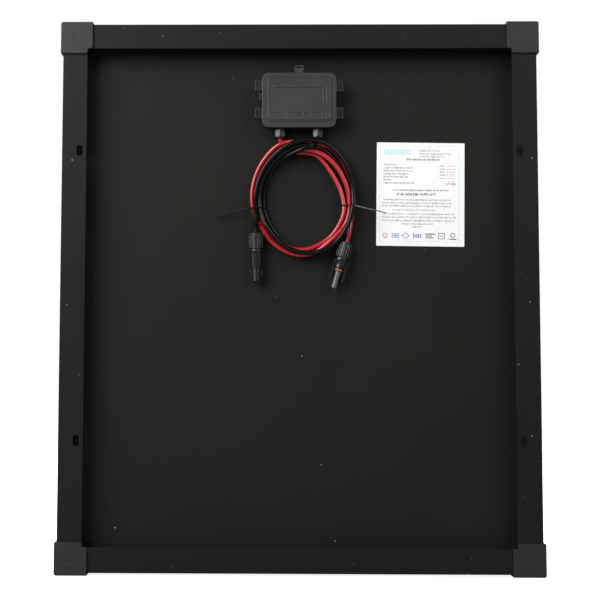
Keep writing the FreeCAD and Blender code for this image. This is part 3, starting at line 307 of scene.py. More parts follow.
def rubber(name, base, rough=0.6, spec=0.5):
    """Dull skin with a pale bloom."""
    m = Shader(name)
    fine = m.noise(scale=1600.0, rough=0.65)
    bloom = m.noise(scale=90.0, detail=4.0, rough=0.6)
    m.set(color=m.fade(bloom, start=0.4, end=0.75, first=base, second=scaled(base, 1.6)),
          rough=m.vary(fine, swing=0.2, low=rough - 0.1), specular=spec)
    m.bump(fine, distance=0.00005, strength=0.6)


def metal(name, base, rough=0.3, stretch=(900, 900, 900)):
    """Bare metal: drawn or even grain with darker clouds."""
    m = Shader(name)
    grain = m.streaks(stretch, detail=3.0, rough=0.6)
    cloud = m.noise(scale=60.0, detail=4.0, rough=0.6)
    m.set(color=m.fade(cloud, start=0.35, end=0.75, first=scaled(base, 0.75), second=base),
          metallic=1.0, rough=m.vary(grain, swing=0.22, low=rough - 0.1))
    m.bump(grain, distance=0.00003, strength=0.5, round_radius=0.0002)


def label_film(name):
    """Coated label: near white, faint mottling, slightly lifted wrinkles."""
    m = Shader(name)
    mottle = m.noise(scale=300.0, detail=4.0, rough=0.6)
    wave = m.noise(scale=22.0, rough=0.5)
    m.set(color=m.fade(mottle, start=0.3, end=0.7,
                       first=(0.80, 0.795, 0.785), second=(0.865, 0.860, 0.850)),
          rough=m.vary(mottle, swing=0.15, low=0.34), specular=0.4)
    relief = m.add(m.mul(wave, weight=1.0), m.mul(mottle, weight=0.05))
    m.bump(relief, distance=0.0004, strength=0.25)


def ink(name, base):
    """Printed ink with fine paler speckle."""
    m = Shader(name)
    speckle = m.noise(scale=1500.0, rough=0.7)
    paler = tuple(min(1.0, v * 1.4 + 0.12) for v in base)
    m.set(color=m.fade(speckle, start=0.45, end=0.75, high=0.5, first=base, second=paler),
          rough=m.vary(speckle, swing=0.2, low=0.4))


def clear(name, tint, gloss_rough, texture, ior):
    """Thin clear layer: see-through with a Fresnel sheen over a faint relief."""
    m = Shader(name)
    m.tree.nodes.remove(m.principled)
    through = m.node("ShaderNodeBsdfTransparent", Color=(*tint, 1.0))
    gloss = m.node("ShaderNodeBsdfGlossy", Roughness=gloss_rough)
    fresnel = m.node("ShaderNodeFresnel", IOR=ior)
    # only the outward face has a sheen: the inner faces are bonded
    back = m.node("ShaderNodeNewGeometry").outputs["Backfacing"]
    sheen = m.mul(fresnel.outputs[0], m.sub(1.0, back))
    m.mix_shader(sheen, through.outputs[0], gloss.outputs[0])
    bump = m.node("ShaderNodeBump", Distance=texture, Strength=0.5)
    relief = m.add(m.voronoi(scale=1400.0), m.mul(m.noise(scale=40.0), weight=2.0))
    m.link(relief, bump.inputs["Height"])
    m.link(bump.outputs[0], gloss.inputs["Normal"])
    m.link(bump.outputs[0], fresnel.inputs["Normal"])


def silicon(name):
    """Cell face: blue-black film, fine silver fingers, a tint for each cell."""
    # metres: pitches, and how far the cell grid is shifted from the origin
    finger_pitch, pitch_x, pitch_z = 0.0015, 0.128, 0.0645
    shift_x, shift_z = 0.2545 + 0.0015, 0.02325 - 0.001
    m = Shader(name)
    x, _, z = m.xyz()
    phase = m.calc("FRACT", m.mul(z, 1.0 / finger_pitch))
    finger = m.ramp(m.calc("ABSOLUTE", m.sub(phase, 0.5)), start=0.40, end=0.5)
    column = m.calc("FLOOR", m.mul(m.add(x, shift_x), 1.0 / pitch_x))
    row = m.calc("FLOOR", m.mul(m.sub(z, shift_z), 1.0 / pitch_z))
    tint = m.node("ShaderNodeTexWhiteNoise", {"noise_dimensions": "2D"})
    cell = m.node("ShaderNodeCombineXYZ")
    m.link(column, cell.inputs[0])
    m.link(row, cell.inputs[1])
    m.link(cell.outputs[0], tint.inputs["Vector"])
    color = m.mix(tint.outputs["Value"], (0.0050, 0.0062, 0.0135), (0.0078, 0.0090, 0.0210))
    color = m.fade(m.noise(scale=30.0), start=0.3, end=0.8, high=0.5,
                   first=color, second=(0.0040, 0.0050, 0.0095))
    color = m.mix(m.mul(finger, weight=0.22), color, (0.16, 0.17, 0.20))
    m.set(color=color, specular=0.6,
          rough=m.vary(m.noise(scale=2400.0, detail=2.0), swing=0.2, low=0.25))
    grain = m.noise(scale=2400.0, detail=2.0)
    m.bump(m.add(finger, m.mul(grain, weight=0.4)), distance=0.00002, strength=0.5)


def tie_with_painted_highlight(name):
    """Black coated wire with a painted highlight, pale and part metallic, along the stretch past the
    knot.
    """
    m = Shader(name)
    x = m.xyz()[0]
    fine = m.noise(scale=1500.0, rough=0.65)
    painted_highlight = m.mul(m.ramp(x, start=0.0640, end=0.0665),
                 m.ramp(x, start=0.0835, end=0.0900, low=1.0, high=0.0))
    patches = m.ramp(m.noise(scale=420.0, rough=0.6), start=0.35, end=0.6, low=0.35)
    painted_highlight = m.mul(painted_highlight, patches)
    m.set(color=m.mix(painted_highlight, (0.0045, 0.0045, 0.0045), (0.36, 0.35, 0.30)),
          metallic=m.mul(painted_highlight, weight=0.6), rough=m.vary(fine, swing=0.2, low=0.28),
          specular=m.vary(painted_highlight, swing=0.4, low=0.10))
    m.bump(fine, distance=0.00004, strength=0.6)


def loop_area(m):
    """Mask of the box beyond 42.25 mm to either side, or above, of x = 0, z = 530 mm."""
    x, _, z = m.xyz()
    reach = m.calc("MAXIMUM", m.calc("ABSOLUTE", x), m.sub(z, 0.5300))
    return m.above(reach, limit=0.04225)


def loop_painted_shade(m, color):
    """Loops and side walls: painted shade, a darker tone of the same plastic."""
    return m.mix(loop_area(m), color, (0.0022, 0.0022, 0.0025))


def barrel_painted_highlight(m, color):
    """Socket barrel: painted highlight, a paler tube past the collar."""
    distance = m.along(SOCKET_ORIGIN, SOCKET_DIRECTION)
    return m.mix(m.above(distance, limit=0.0337), color, (0.095, 0.090, 0.090))


anodised("anodised_rail_x", stretch=(6, 900, 900))
anodised("anodised_rail_z", stretch=(900, 900, 6))
moulded("cap_plastic", (0.0215, 0.0213, 0.0236), (0.0262, 0.0260, 0.0288), rough=0.5, grain=1900,
        depth=0.00006, spec=0.22, edge=1.5, round_radius=0.0009, cloud=26.0)
film("backsheet_film")
# the loops get painted shade and brighter painted edge highlights
moulded("box_plastic", (0.0270, 0.0258, 0.0266), (0.0335, 0.0320, 0.0330), rough=0.42, grain=2300,
        depth=0.00008, spec=0.34, edge=2.6, cloud=30.0, painted_zone=loop_painted_shade, edge_highlight_zone=loop_area)
moulded("nut_plastic", (0.0115, 0.012, 0.013), (0.0165, 0.017, 0.0185), rough=0.28,
        depth=0.00005, spec=0.42, edge=1.7, round_radius=0.0004, cloud=60.0)
moulded("plug_plastic", (0.0042, 0.0042, 0.0046), (0.0066, 0.0066, 0.0072), rough=0.34,
        depth=0.00005, spec=0.42, edge=3.0, round_radius=0.0004, cloud=60.0)
# the socket barrel carries a painted highlight
moulded("socket_plastic", (0.0042, 0.0042, 0.0046), (0.0066, 0.0066, 0.0072), rough=0.30,
        depth=0.00004, edge=2.2, spec=0.5, round_radius=0.0003, cloud=60.0, painted_zone=barrel_painted_highlight)
jacket("red_jacket", (0.36, 0.008, 0.012), (0.46, 0.018, 0.020), spec=0.66)
jacket("black_jacket", (0.0018, 0.0018, 0.0020), (0.0036, 0.0036, 0.0038), spec=0.21)
rubber("black_seal", (0.02, 0.02, 0.02))
rubber("orange_seal", (0.26, 0.062, 0.028), rough=0.45)
metal("key_aluminium", (0.55, 0.55, 0.56), rough=0.4)
metal("tinned_strip", (0.62, 0.63, 0.65), rough=0.34, stretch=(30, 900, 900))
rubber("blackened_bus", (0.018, 0.018, 0.019), rough=0.5)
metal("terminal_brass", (0.72, 0.55, 0.28), rough=0.34)
metal("copper_strand", (0.75, 0.38, 0.24), stretch=(2400, 2400, 60))
metal("zinc_screw", (0.6, 0.6, 0.62))
metal("tinned_contact", (0.74, 0.73, 0.70), rough=0.26)
moulded("diode_body", (0.012, 0.012, 0.013), rough=0.4)
label_film("label_film")
clear("front_glass_clear", (0.97, 0.985, 0.98), gloss_rough=0.06, texture=0.00004, ior=1.45)
clear("encapsulant_clear", (0.985, 0.985, 0.98), gloss_rough=0.2, texture=0.00002, ior=1.03)
silicon("cell_face")
rubber("tie_coating", (0.0030, 0.0030, 0.0030), rough=0.6, spec=0.12)
tie_with_painted_highlight("tie_coating_painted_highlight")
for shade, display_color in (
        ("grey", (92, 90, 92)), ("dark", (52, 50, 54)), ("pale", (196, 198, 204)),
        ("cyan", (120, 205, 215)), ("pink", (226, 156, 176)), ("blue", (98, 110, 164)),
        ("rust", (168, 92, 90))):
    ink("ink_" + shade, srgb(*display_color))
metal("bare_chip", (0.80, 0.80, 0.78), rough=0.4)
rubber("pale_dust", (0.22, 0.22, 0.19), rough=0.7)

# Material of each CAD piece.
PIECES = {
    "anodised_rail_z": "frame_rail_left frame_rail_right",
    "anodised_rail_x": "frame_rail_top frame_rail_bottom",
    "key_aluminium": "corner_keys",
    "black_seal": "edge_seal box_adhesive_pad junction_box_gasket pin_connector_seal "
                  "socket_connector_seal gland_seal_left gland_seal_right",
    "front_glass_clear": "front_glass",
    "cell_face": "solar_cells",
    "tinned_strip": "cell_ribbons",
    "blackened_bus": "bus_ribbons",
    "encapsulant_clear": "front_encapsulant rear_encapsulant",
    "backsheet_film": "backsheet",
    "label_film": "rating_label",
    "box_plastic": "junction_box_base junction_box_lid",
    "terminal_brass": "terminal_negative terminal_centre terminal_positive",
    "zinc_screw": "terminal_screws",
    "diode_body": "bypass_diode_1 bypass_diode_2",
    "black_jacket": "cable_black_jacket",
    "red_jacket": "cable_red_jacket",
    "copper_strand": "cable_black_core cable_red_core",
    "plug_plastic": "pin_connector_housing pin_connector_collet socket_connector_collet "
                    "socket_latch_left socket_latch_right gland_collet_left gland_collet_right",
    "nut_plastic": "pin_connector_nut socket_connector_nut gland_nut_left gland_nut_right",
    "tinned_contact": "pin_contact socket_contact",
    "socket_plastic": "socket_connector_housing",
    "orange_seal": "socket_connector_oring",
    "tie_coating": "tie_left tie_right",
    "cap_plastic": "corner_cap_top_left corner_cap_top_right "
                   "corner_cap_bottom_left corner_cap_bottom_right",
}
for material_name, piece_names in PIECES.items():
    for piece in piece_names.split():
        mesh = nodes[piece].data
        mesh.materials.clear()
        mesh.materials.append(MATERIALS[material_name])


# ----------------------------------------------------------------- mesh makers
def place(name, mesh, material, body="panel", smooth=True):
    """Put a mesh in the scene with one material, riding on a body."""
    ob = bpy.data.objects.new(name, mesh)
    scene.collection.objects.link(ob)
    mesh.materials.clear()
    mesh.materials.append(MATERIALS[material])
    if smooth:
        mesh.polygons.foreach_set("use_smooth", [True] * len(mesh.polygons))
    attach(ob, body)
    return ob


def face_outward(mesh):
    bm = bmesh.new()
    bm.from_mesh(mesh)
    bmesh.ops.recalc_face_normals(bm, faces=bm.faces)
    bm.to_mesh(mesh)
    bm.free()


def join_meshes(name, meshes):
    bm = bmesh.new()
    for mesh in meshes:
        bm.from_mesh(mesh)
    joined = bpy.data.meshes.new(name)
    bm.to_mesh(joined)
    bm.free()
    return joined


def catmull(points, step):
    """Dense centripetal spline through the points, in mm."""
    def between(a, b, time_a, time_b, time):
        span = time_b - time_a
        return a * ((time_b - time) / span) + b * ((time - time_a) / span)

    knots = [Vector(p) for p in points]
    knots = [knots[0] * 2 - knots[1]] + knots + [knots[-1] * 2 - knots[-2]]
    line = []
    for p0, p1, p2, p3 in zip(knots, knots[1:], knots[2:], knots[3:]):
        t0 = 0.0
        t1 = t0 + (p1 - p0).length ** 0.5
        t2 = t1 + (p2 - p1).length ** 0.5
        t3 = t2 + (p3 - p2).length ** 0.5
        count = max(1, int(math.ceil((p2 - p1).length / step)))
        for k in range(count):
            time = t1 + (t2 - t1) * k / count
            middle = between(p1, p2, t1, t2, time)
            before = between(between(p0, p1, t0, t1, time), middle, t0, t2, time)
            after = between(middle, between(p2, p3, t2, t3, time), t1, t3, time)
            line.append(between(before, after, t1, t2, time))
    line.append(knots[-2].copy())
    return line


UV_GIRTH = 0.0176  # metres of U once round a tube


def sweep(points, radius, sides):
    """Closed round tube along points in mm; UVs run along it. Radius may vary with length."""
    count = len(points)
    tangents = [(points[min(count - 1, i + 1)] - points[max(0, i - 1)]).normalized()
                for i in range(count)]
    up = Vector((0, 1, 0))
    normal = (up - tangents[0] * up.dot(tangents[0])).normalized()
    verts, lengths = [], [0.0]
    for i, (point, tangent) in enumerate(zip(points, tangents)):
        if i:
            normal = (normal - tangent * normal.dot(tangent)).normalized()
            lengths.append(lengths[-1] + (point - points[i - 1]).length)
        side = tangent.cross(normal)
        size = radius(lengths[i]) if callable(radius) else radius
        for k in range(sides):
            angle = 2 * math.pi * k / sides
            spoke = normal * math.cos(angle) + side * math.sin(angle)
            verts.append(tuple((point + spoke * size) * MM))
    faces, uvs = [], []
    for i in range(count - 1):
        v0, v1 = lengths[i] * MM, lengths[i + 1] * MM
        for k in range(sides):
            k2 = (k + 1) % sides
            here, ahead = i * sides, (i + 1) * sides
            faces.append((here + k, here + k2, ahead + k2, ahead + k))
            u0, u1 = k / sides * UV_GIRTH, (k + 1) / sides * UV_GIRTH
            uvs += [(u0, v0), (u1, v0), (u1, v1), (u0, v1)]
    faces.append(tuple(range(sides))[::-1])
    faces.append(tuple((count - 1) * sides + k for k in range(sides)))
    uvs += [(0, 0)] * (2 * sides)
    mesh = bpy.data.meshes.new("sweep")
    mesh.from_pydata(verts, [], faces)
    layer = mesh.uv_layers.new(name="UVMap")
    for i, uv in enumerate(uvs):
        layer.data[i].uv = uv
    face_outward(mesh)
    return mesh


# ---------------------------------------------------------------------- cables
# Centre lines from the junction box to the connector: x, y, z in mm.
CABLE_BLACK_PATH = [
    (21.70, 0.40, 506.00), (21.70, 0.40, 499.99), (21.72, 0.45, 493.99), (21.34, -0.54, 491.21),
    (20.37, -2.42, 489.10), (18.88, -4.44, 487.45), (16.85, -6.03, 485.93), (14.30, -7.16, 484.43),
    (10.99, -7.92, 482.83), (7.07, -8.22, 481.15), (3.03, -7.95, 479.47), (-0.90, -7.12, 477.83),
    (-5.76, -5.46, 475.94), (-13.24, -2.65, 473.06), (-17.53, -1.02, 470.81),
    (-21.74, 0.59, 467.95), (-25.42, 1.94, 464.80), (-28.52, 2.95, 461.48), (-31.23, 3.67, 457.83),
    (-33.70, 4.14, 453.64), (-35.93, 4.43, 448.79), (-37.86, 4.58, 443.24), (-39.39, 4.62, 437.08),
    (-40.43, 4.62, 430.50), (-40.91, 4.62, 423.78), (-40.79, 4.62, 417.43), (-40.13, 4.62, 412.01),
    (-38.99, 4.62, 407.31), (-36.84, 4.62, 401.29), (-34.31, 4.62, 395.82), (-30.14, 4.62, 388.41),
    (-26.91, 4.62, 383.88), (-23.09, 4.62, 379.53), (-18.53, 4.62, 375.22), (-13.92, 4.62, 371.66),
    (-9.44, 4.62, 368.91), (-5.06, 4.62, 366.88), (-0.72, 4.62, 365.49), (3.73, 4.62, 364.68),
    (8.52, 4.62, 364.40), (13.95, 4.62, 364.70), (19.79, 4.62, 365.59), (24.42, 4.62, 366.85),
    (28.36, 4.62, 368.50), (32.15, 4.62, 370.73), (36.17, 4.62, 373.79), (41.36, 4.62, 378.58),
    (44.33, 4.62, 382.15), (46.70, 4.62, 385.88), (48.85, 4.62, 390.43), (50.57, 4.62, 395.35),
    (52.63, 4.62, 403.32), (54.29, 4.62, 411.65), (55.24, 4.62, 419.50), (55.48, 4.62, 426.06),
    (55.12, 4.61, 432.05), (54.17, 4.57, 438.22), (52.62, 4.45, 444.53), (50.50, 4.25, 450.71),
    (47.91, 3.96, 456.55), (44.88, 3.57, 461.97), (41.37, 3.12, 467.06), (37.59, 2.66, 471.54),
    (33.67, 2.21, 475.31), (29.62, 1.77, 478.41), (25.49, 1.33, 480.87), (21.26, 0.80, 482.73),
    (15.70, -0.33, 484.57), (12.67, -1.43, 485.30), (9.41, -2.77, 485.53), (5.84, -4.04, 485.21),
    (1.29, -5.24, 484.30), (-4.07, -6.26, 482.80), (-7.99, -6.77, 481.24), (-11.75, -6.89, 479.24),
    (-15.55, -6.47, 476.90), (-20.33, -5.41, 473.57), (-24.72, -4.13, 469.88),
    (-28.75, -2.86, 465.75), (-32.35, -1.80, 461.30), (-35.51, -1.01, 456.56),
    (-38.23, -0.56, 451.63), (-40.50, -0.39, 446.49), (-42.53, -0.37, 440.45),
    (-43.87, -0.37, 434.64), (-44.63, -0.37, 428.75), (-44.86, -0.45, 422.56),
    (-44.52, -0.75, 415.13), (-43.76, -1.05, 409.70), (-42.53, -1.57, 404.65),
    (-40.87, -2.48, 399.66), (-38.48, -3.78, 394.15), (-36.26, -4.54, 389.99),
    (-33.62, -4.82, 385.79), (-29.96, -4.97, 380.95), (-26.02, -5.27, 376.63),
    (-21.63, -5.76, 372.64), (-16.93, -6.25, 369.13), (-12.18, -6.55, 366.27),
    (-7.36, -6.66, 364.00), (-2.45, -6.60, 362.29), (2.57, -6.48, 361.15), (7.63, -6.39, 360.59),
    (12.69, -6.45, 360.58), (17.77, -6.72, 361.12), (23.11, -7.17, 362.25), (26.84, -7.31, 363.44),
    (30.69, -7.02, 365.16), (35.49, -6.42, 367.93), (39.40, -5.97, 370.86), (42.91, -5.83, 374.10),
    (46.52, -6.08, 378.07), (49.82, -6.43, 382.40), (52.29, -6.43, 386.39), (54.81, -6.00, 391.36),
    (57.65, -5.36, 398.13), (59.74, -5.00, 404.53), (61.54, -4.71, 411.80), (62.47, -4.21, 417.49),
    (62.90, -3.40, 423.38), (62.95, -2.71, 429.93), (62.62, -2.56, 435.54), (61.86, -2.83, 441.26),
    (60.57, -3.41, 447.28), (58.71, -4.16, 453.30), (56.34, -4.93, 459.02), (53.50, -5.67, 464.35),
    (50.23, -6.38, 469.30), (46.53, -7.08, 473.84), (42.45, -7.74, 477.93), (38.11, -8.37, 481.48),
    (33.62, -8.96, 484.41), (29.06, -9.49, 486.71), (24.46, -9.94, 488.39),
    (19.84, -10.29, 489.48), (15.48, -10.44, 489.98), (10.42, -10.44, 489.95),
    (5.01, -10.43, 489.33), (-0.48, -10.55, 488.15), (-6.28, -10.83, 486.30),
    (-11.58, -10.96, 484.06), (-16.23, -10.67, 481.55), (-20.71, -9.99, 478.61),
    (-25.46, -8.92, 474.91), (-29.96, -7.65, 470.69), (-34.18, -6.37, 465.96),
    (-37.83, -5.32, 461.05), (-40.86, -4.58, 456.11), (-43.39, -4.20, 451.09),
    (-45.61, -4.15, 445.63), (-47.37, -4.19, 439.83), (-48.70, -4.06, 433.51),
    (-49.65, -3.56, 426.89), (-50.17, -2.70, 420.06), (-50.17, -1.82, 413.38),
    (-50.00, -1.37, 406.65), (-49.76, -1.03, 398.16), (-49.43, -0.17, 389.71),
    (-49.37, -0.09, 387.29), (-49.27, -0.10, 381.29), (-49.11, -0.10, 372.29),
]
CABLE_RED_PATH = [
    (-21.70, 0.40, 505.99), (-21.70, 0.40, 499.99), (-21.71, 0.38, 493.99), (-21.45, 0.75, 491.03),
    (-20.71, 1.55, 488.24), (-19.44, 2.58, 485.72), (-17.64, 3.60, 483.55), (-15.35, 4.36, 481.78),
    (-12.69, 4.62, 480.42), (-9.11, 4.62, 479.23), (-4.56, 4.62, 478.40), (2.17, 4.62, 477.83),
    (10.65, 4.62, 477.24), (15.00, 4.57, 476.48), (18.33, 4.46, 475.36), (21.25, 4.30, 473.80),
    (24.08, 4.05, 471.59), (27.06, 3.70, 468.46), (30.66, 3.16, 463.71), (35.37, 2.38, 456.68),
    (39.76, 1.65, 449.44), (43.73, 1.00, 441.95), (46.83, 0.48, 434.88), (49.06, 0.03, 428.37),
    (50.51, -0.40, 422.36), (51.29, -0.79, 416.74), (51.44, -1.08, 411.56), (51.04, -1.18, 407.09),
    (50.18, -1.07, 403.23), (48.71, -0.67, 399.19), (46.32, 0.13, 394.27), (43.13, 0.93, 388.80),
    (40.15, 1.17, 384.56), (36.74, 1.17, 380.62), (32.87, 1.11, 377.04), (28.54, 0.95, 373.88),
    (24.14, 0.55, 371.29), (18.05, -0.42, 368.22), (12.94, -1.04, 366.12), (9.00, -1.27, 365.04),
    (4.82, -1.35, 364.48), (0.48, -1.29, 364.46), (-3.90, -1.16, 365.03), (-8.41, -0.97, 366.20),
    (-13.03, -0.68, 368.00), (-17.73, -0.25, 370.45), (-22.27, 0.27, 373.46),
    (-26.63, 0.70, 377.03), (-30.16, 0.94, 380.62), (-33.29, 1.05, 384.62), (-36.57, 1.36, 389.68),
    (-39.32, 2.16, 393.97), (-41.58, 3.12, 398.10), (-43.62, 4.00, 402.94), (-45.23, 4.49, 407.83),
    (-46.66, 4.62, 413.52), (-47.53, 4.62, 419.22), (-47.79, 4.62, 424.64), (-47.47, 4.62, 430.29),
    (-46.54, 4.62, 436.23), (-45.01, 4.62, 442.33), (-42.90, 4.62, 448.37), (-40.16, 4.62, 454.43),
    (-36.95, 4.51, 460.18), (-33.75, 4.12, 464.94), (-30.49, 3.40, 469.01), (-27.09, 2.37, 472.53),
    (-23.58, 1.16, 475.44), (-20.09, 0.00, 477.64), (-16.78, -0.83, 479.13),
    (-13.74, -1.19, 480.09), (-9.90, -1.05, 480.85), (-4.97, -0.64, 481.24), (0.71, -0.28, 481.14),
    (5.75, -0.31, 480.61), (11.46, -0.79, 479.59), (19.69, -1.63, 477.68), (23.72, -1.81, 476.19),
    (27.84, -1.86, 474.04), (32.13, -1.85, 471.12), (36.37, -1.79, 467.55), (40.36, -1.70, 463.41),
    (44.04, -1.62, 458.76), (47.42, -1.54, 453.55), (50.43, -1.47, 447.83), (53.03, -1.40, 441.66),
    (55.15, -1.31, 435.12), (56.69, -1.16, 428.54), (57.54, -0.90, 422.48), (57.83, -0.50, 416.23),
    (57.56, -0.14, 410.56), (56.78, 0.03, 405.55), (55.51, -0.07, 400.72), (53.93, -0.43, 396.56),
    (51.63, -1.10, 392.11), (49.16, -1.84, 388.45), (45.73, -2.67, 384.45), (40.95, -3.35, 379.61),
    (35.92, -3.53, 374.98), (30.66, -3.19, 370.43), (26.33, -2.45, 366.85), (22.02, -1.42, 363.77),
    (18.52, -0.51, 361.96), (14.59, 0.40, 360.62), (9.57, 1.33, 359.53), (4.83, 2.01, 359.04),
    (0.43, 2.53, 359.15), (-4.11, 2.99, 359.84), (-8.95, 3.42, 361.18), (-14.05, 3.83, 363.20),
    (-19.25, 4.18, 365.88), (-24.35, 4.44, 369.15), (-29.28, 4.58, 372.99), (-33.48, 4.62, 376.96),
    (-36.35, 4.62, 380.42), (-38.91, 4.62, 384.48), (-40.69, 4.65, 387.45), (-44.76, 4.61, 392.39),
    (-46.98, 4.62, 396.08), (-48.98, 4.62, 400.61), (-50.87, 4.62, 406.31), (-52.54, 4.59, 413.30),
    (-53.49, 4.50, 419.63), (-53.84, 4.33, 425.82), (-53.61, 4.09, 432.04), (-52.81, 3.78, 438.29),
    (-51.43, 3.39, 444.54), (-49.49, 2.90, 450.68), (-47.02, 2.28, 456.63), (-44.08, 1.49, 462.28),
    (-40.70, 0.51, 467.61), (-36.85, -0.68, 472.66), (-32.47, -2.01, 477.47),
    (-28.18, -3.10, 481.39), (-24.64, -3.68, 483.96), (-21.55, -3.89, 485.64),
    (-18.44, -3.76, 486.80), (-14.54, -3.11, 487.84), (-10.73, -1.98, 488.78),
    (-6.55, -0.47, 489.31), (-1.30, 1.46, 489.36), (4.31, 3.15, 489.00), (9.36, 4.12, 488.47),
    (14.74, 4.59, 487.73), (19.57, 4.62, 487.41), (24.05, 4.62, 486.91), (28.10, 4.60, 485.88),
    (32.10, 4.57, 484.28), (35.98, 4.53, 482.08), (39.71, 4.50, 479.30), (43.26, 4.49, 475.91),
    (46.62, 4.50, 471.91), (49.75, 4.53, 467.25), (52.66, 4.57, 461.88), (55.30, 4.60, 455.77),
    (57.65, 4.62, 448.87), (59.64, 4.62, 441.22), (61.18, 4.62, 433.03), (62.14, 4.59, 424.81),
    (62.48, 4.38, 417.13), (62.29, 3.92, 409.89), (61.61, 3.18, 402.82), (60.39, 2.14, 395.50),
    (58.50, 0.87, 387.31), (56.27, -0.02, 379.19), (55.42, -0.11, 376.24), (53.74, -0.10, 370.48),
    (51.22, -0.10, 361.84),
]

# Where strands lie on each other they settle: arc length, shift outward, shift to the back.
BLACK_SETTLE = ((593, 0.0, 0.0), (620, -0.3, 0.8), (642, -0.6, 0.8), (664, -1.4, 0.8),
                (703, -1.5, 0.7), (758, 0.0, 0.0))
RED_SETTLE = ((773, 0.0, 0.0), (803, 0.8, 0.0), (843, 0.7, 0.0), (866, -1.3, 0.0),
              (885, -1.9, 0.0), (905, -0.2, 0.0), (912, 0.0, 0.0))
COIL_CENTRE = Vector((6.0, 0.0, 428.0))
EXIT_X, EXIT_Y, EXIT_Z = 21.7, 0.4, 509.0  # start of a lead; the red one is at -EXIT_X
CONNECTOR_DEPTH = 18.5                     # how far a lead runs into its connector
CABLE_RADIUS = 2.79


def cable_points(path, exit_x, origin, direction, settle):
    """Dense, settled centre line of a lead."""
    end = Vector(origin) + Vector(direction) * CONNECTOR_DEPTH
    line = catmull([(exit_x, EXIT_Y, EXIT_Z)] + path + [tuple(end)], step=1.0)
    length, settled = 0.0, []
    for i, point in enumerate(line):
        if i:
            length += (point - line[i - 1]).length
        radial = Vector((point.x - COIL_CENTRE.x, 0.0, point.z - COIL_CENTRE.z)).normalized()
        outward = back = 0.0
        for (start, out0, back0), (stop, out1, back1) in zip(settle, settle[1:]):
            if start <= length <= stop:
                blend = (length - start) / (stop - start)
                blend = blend * blend * (3 - 2 * blend)
                outward = out0 + (out1 - out0) * blend
                back = back0 + (back1 - back0) * blend
        settled.append(point + radial * outward + Vector((0.0, -back, 0.0)))
    return settled


strands = []
for color, path, exit_x, origin, direction, settle, phase in (
        ("black", CABLE_BLACK_PATH, EXIT_X, PIN_ORIGIN, PIN_DIRECTION, BLACK_SETTLE, 0.2),
        ("red", CABLE_RED_PATH, -EXIT_X, SOCKET_ORIGIN, SOCKET_DIRECTION, RED_SETTLE, 1.3)):
    strands.append(cable_points(path, exit_x, origin, direction, settle))
    # the skin swells and thins very slightly along its length
    tube = sweep(strands[-1], lambda s: (CABLE_RADIUS + 0.012 * math.sin(s * 0.21 + phase)
                                         + 0.008 * math.sin(s * 0.77 + phase)), sides=28)
    cover = place(f"cable_{color}_cover", tube, f"{color}_jacket")
    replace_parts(cover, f"cable_{color}_jacket")

# ------------------------------------------------------------------- wire ties
LOOP_RADIUS = 2.8 + 0.45  # cable radius plus the wire's stand-off
LOOP_STEP = 0.5
LOOP_WIRE, TAIL_WIRE = 0.42, 0.34  # wire radii
TWIST_PITCH, TWIST_RADIUS = 4.6, 0.34


def crossings(height, x0, x1):
    """Where the strands pass a height between x0 and x1."""
    found = []
    for points in strands:
        for a, b in zip(points, points[1:]):
            if (a.z - height) * (b.z - height) <= 0 and a.z != b.z:
                hit = a.lerp(b, (height - a.z) / (b.z - a.z))
                if x0 < hit.x < x1:
                    found.append((hit.x, hit.y))
    return found


def hull(points):
    """Convex outline of flat points."""
    def half(ordered):
        chain = []
        for p in ordered:
            while len(chain) > 1:
                (ax, ay), (bx, by) = chain[-2:]
                if (bx - ax) * (p[1] - ay) - (by - ay) * (p[0] - ax) > 0:
                    break
                chain.pop()
            chain.append(p)
        return chain[:-1]

    ordered = sorted(set((round(x, 4), round(y, 4)) for x, y in points))
    return half(ordered) + half(ordered[::-1])


def around(centres):
    """Evenly spaced closed line drawn tight round the strands."""
    angles = [a * math.pi / 36 for a in range(72)]
    ring = hull([(x + LOOP_RADIUS * math.cos(a), y + LOOP_RADIUS * math.sin(a))
                 for x, y in centres for a in angles])
    ring = [Vector((x, y, 0)) for x, y in ring]
    ring.append(ring[0].copy())
    total = sum((b - a).length for a, b in zip(ring, ring[1:]))
    count = int(total / LOOP_STEP)
    line, passed, k = [], 0.0, 0
    for i in range(count):
        wanted = total * i / count
        while passed + (ring[k + 1] - ring[k]).length < wanted:
            passed += (ring[k + 1] - ring[k]).length
            k += 1
        span = (ring[k + 1] - ring[k]).length
        line.append(ring[k].lerp(ring[k + 1], (wanted - passed) / span))
    return line


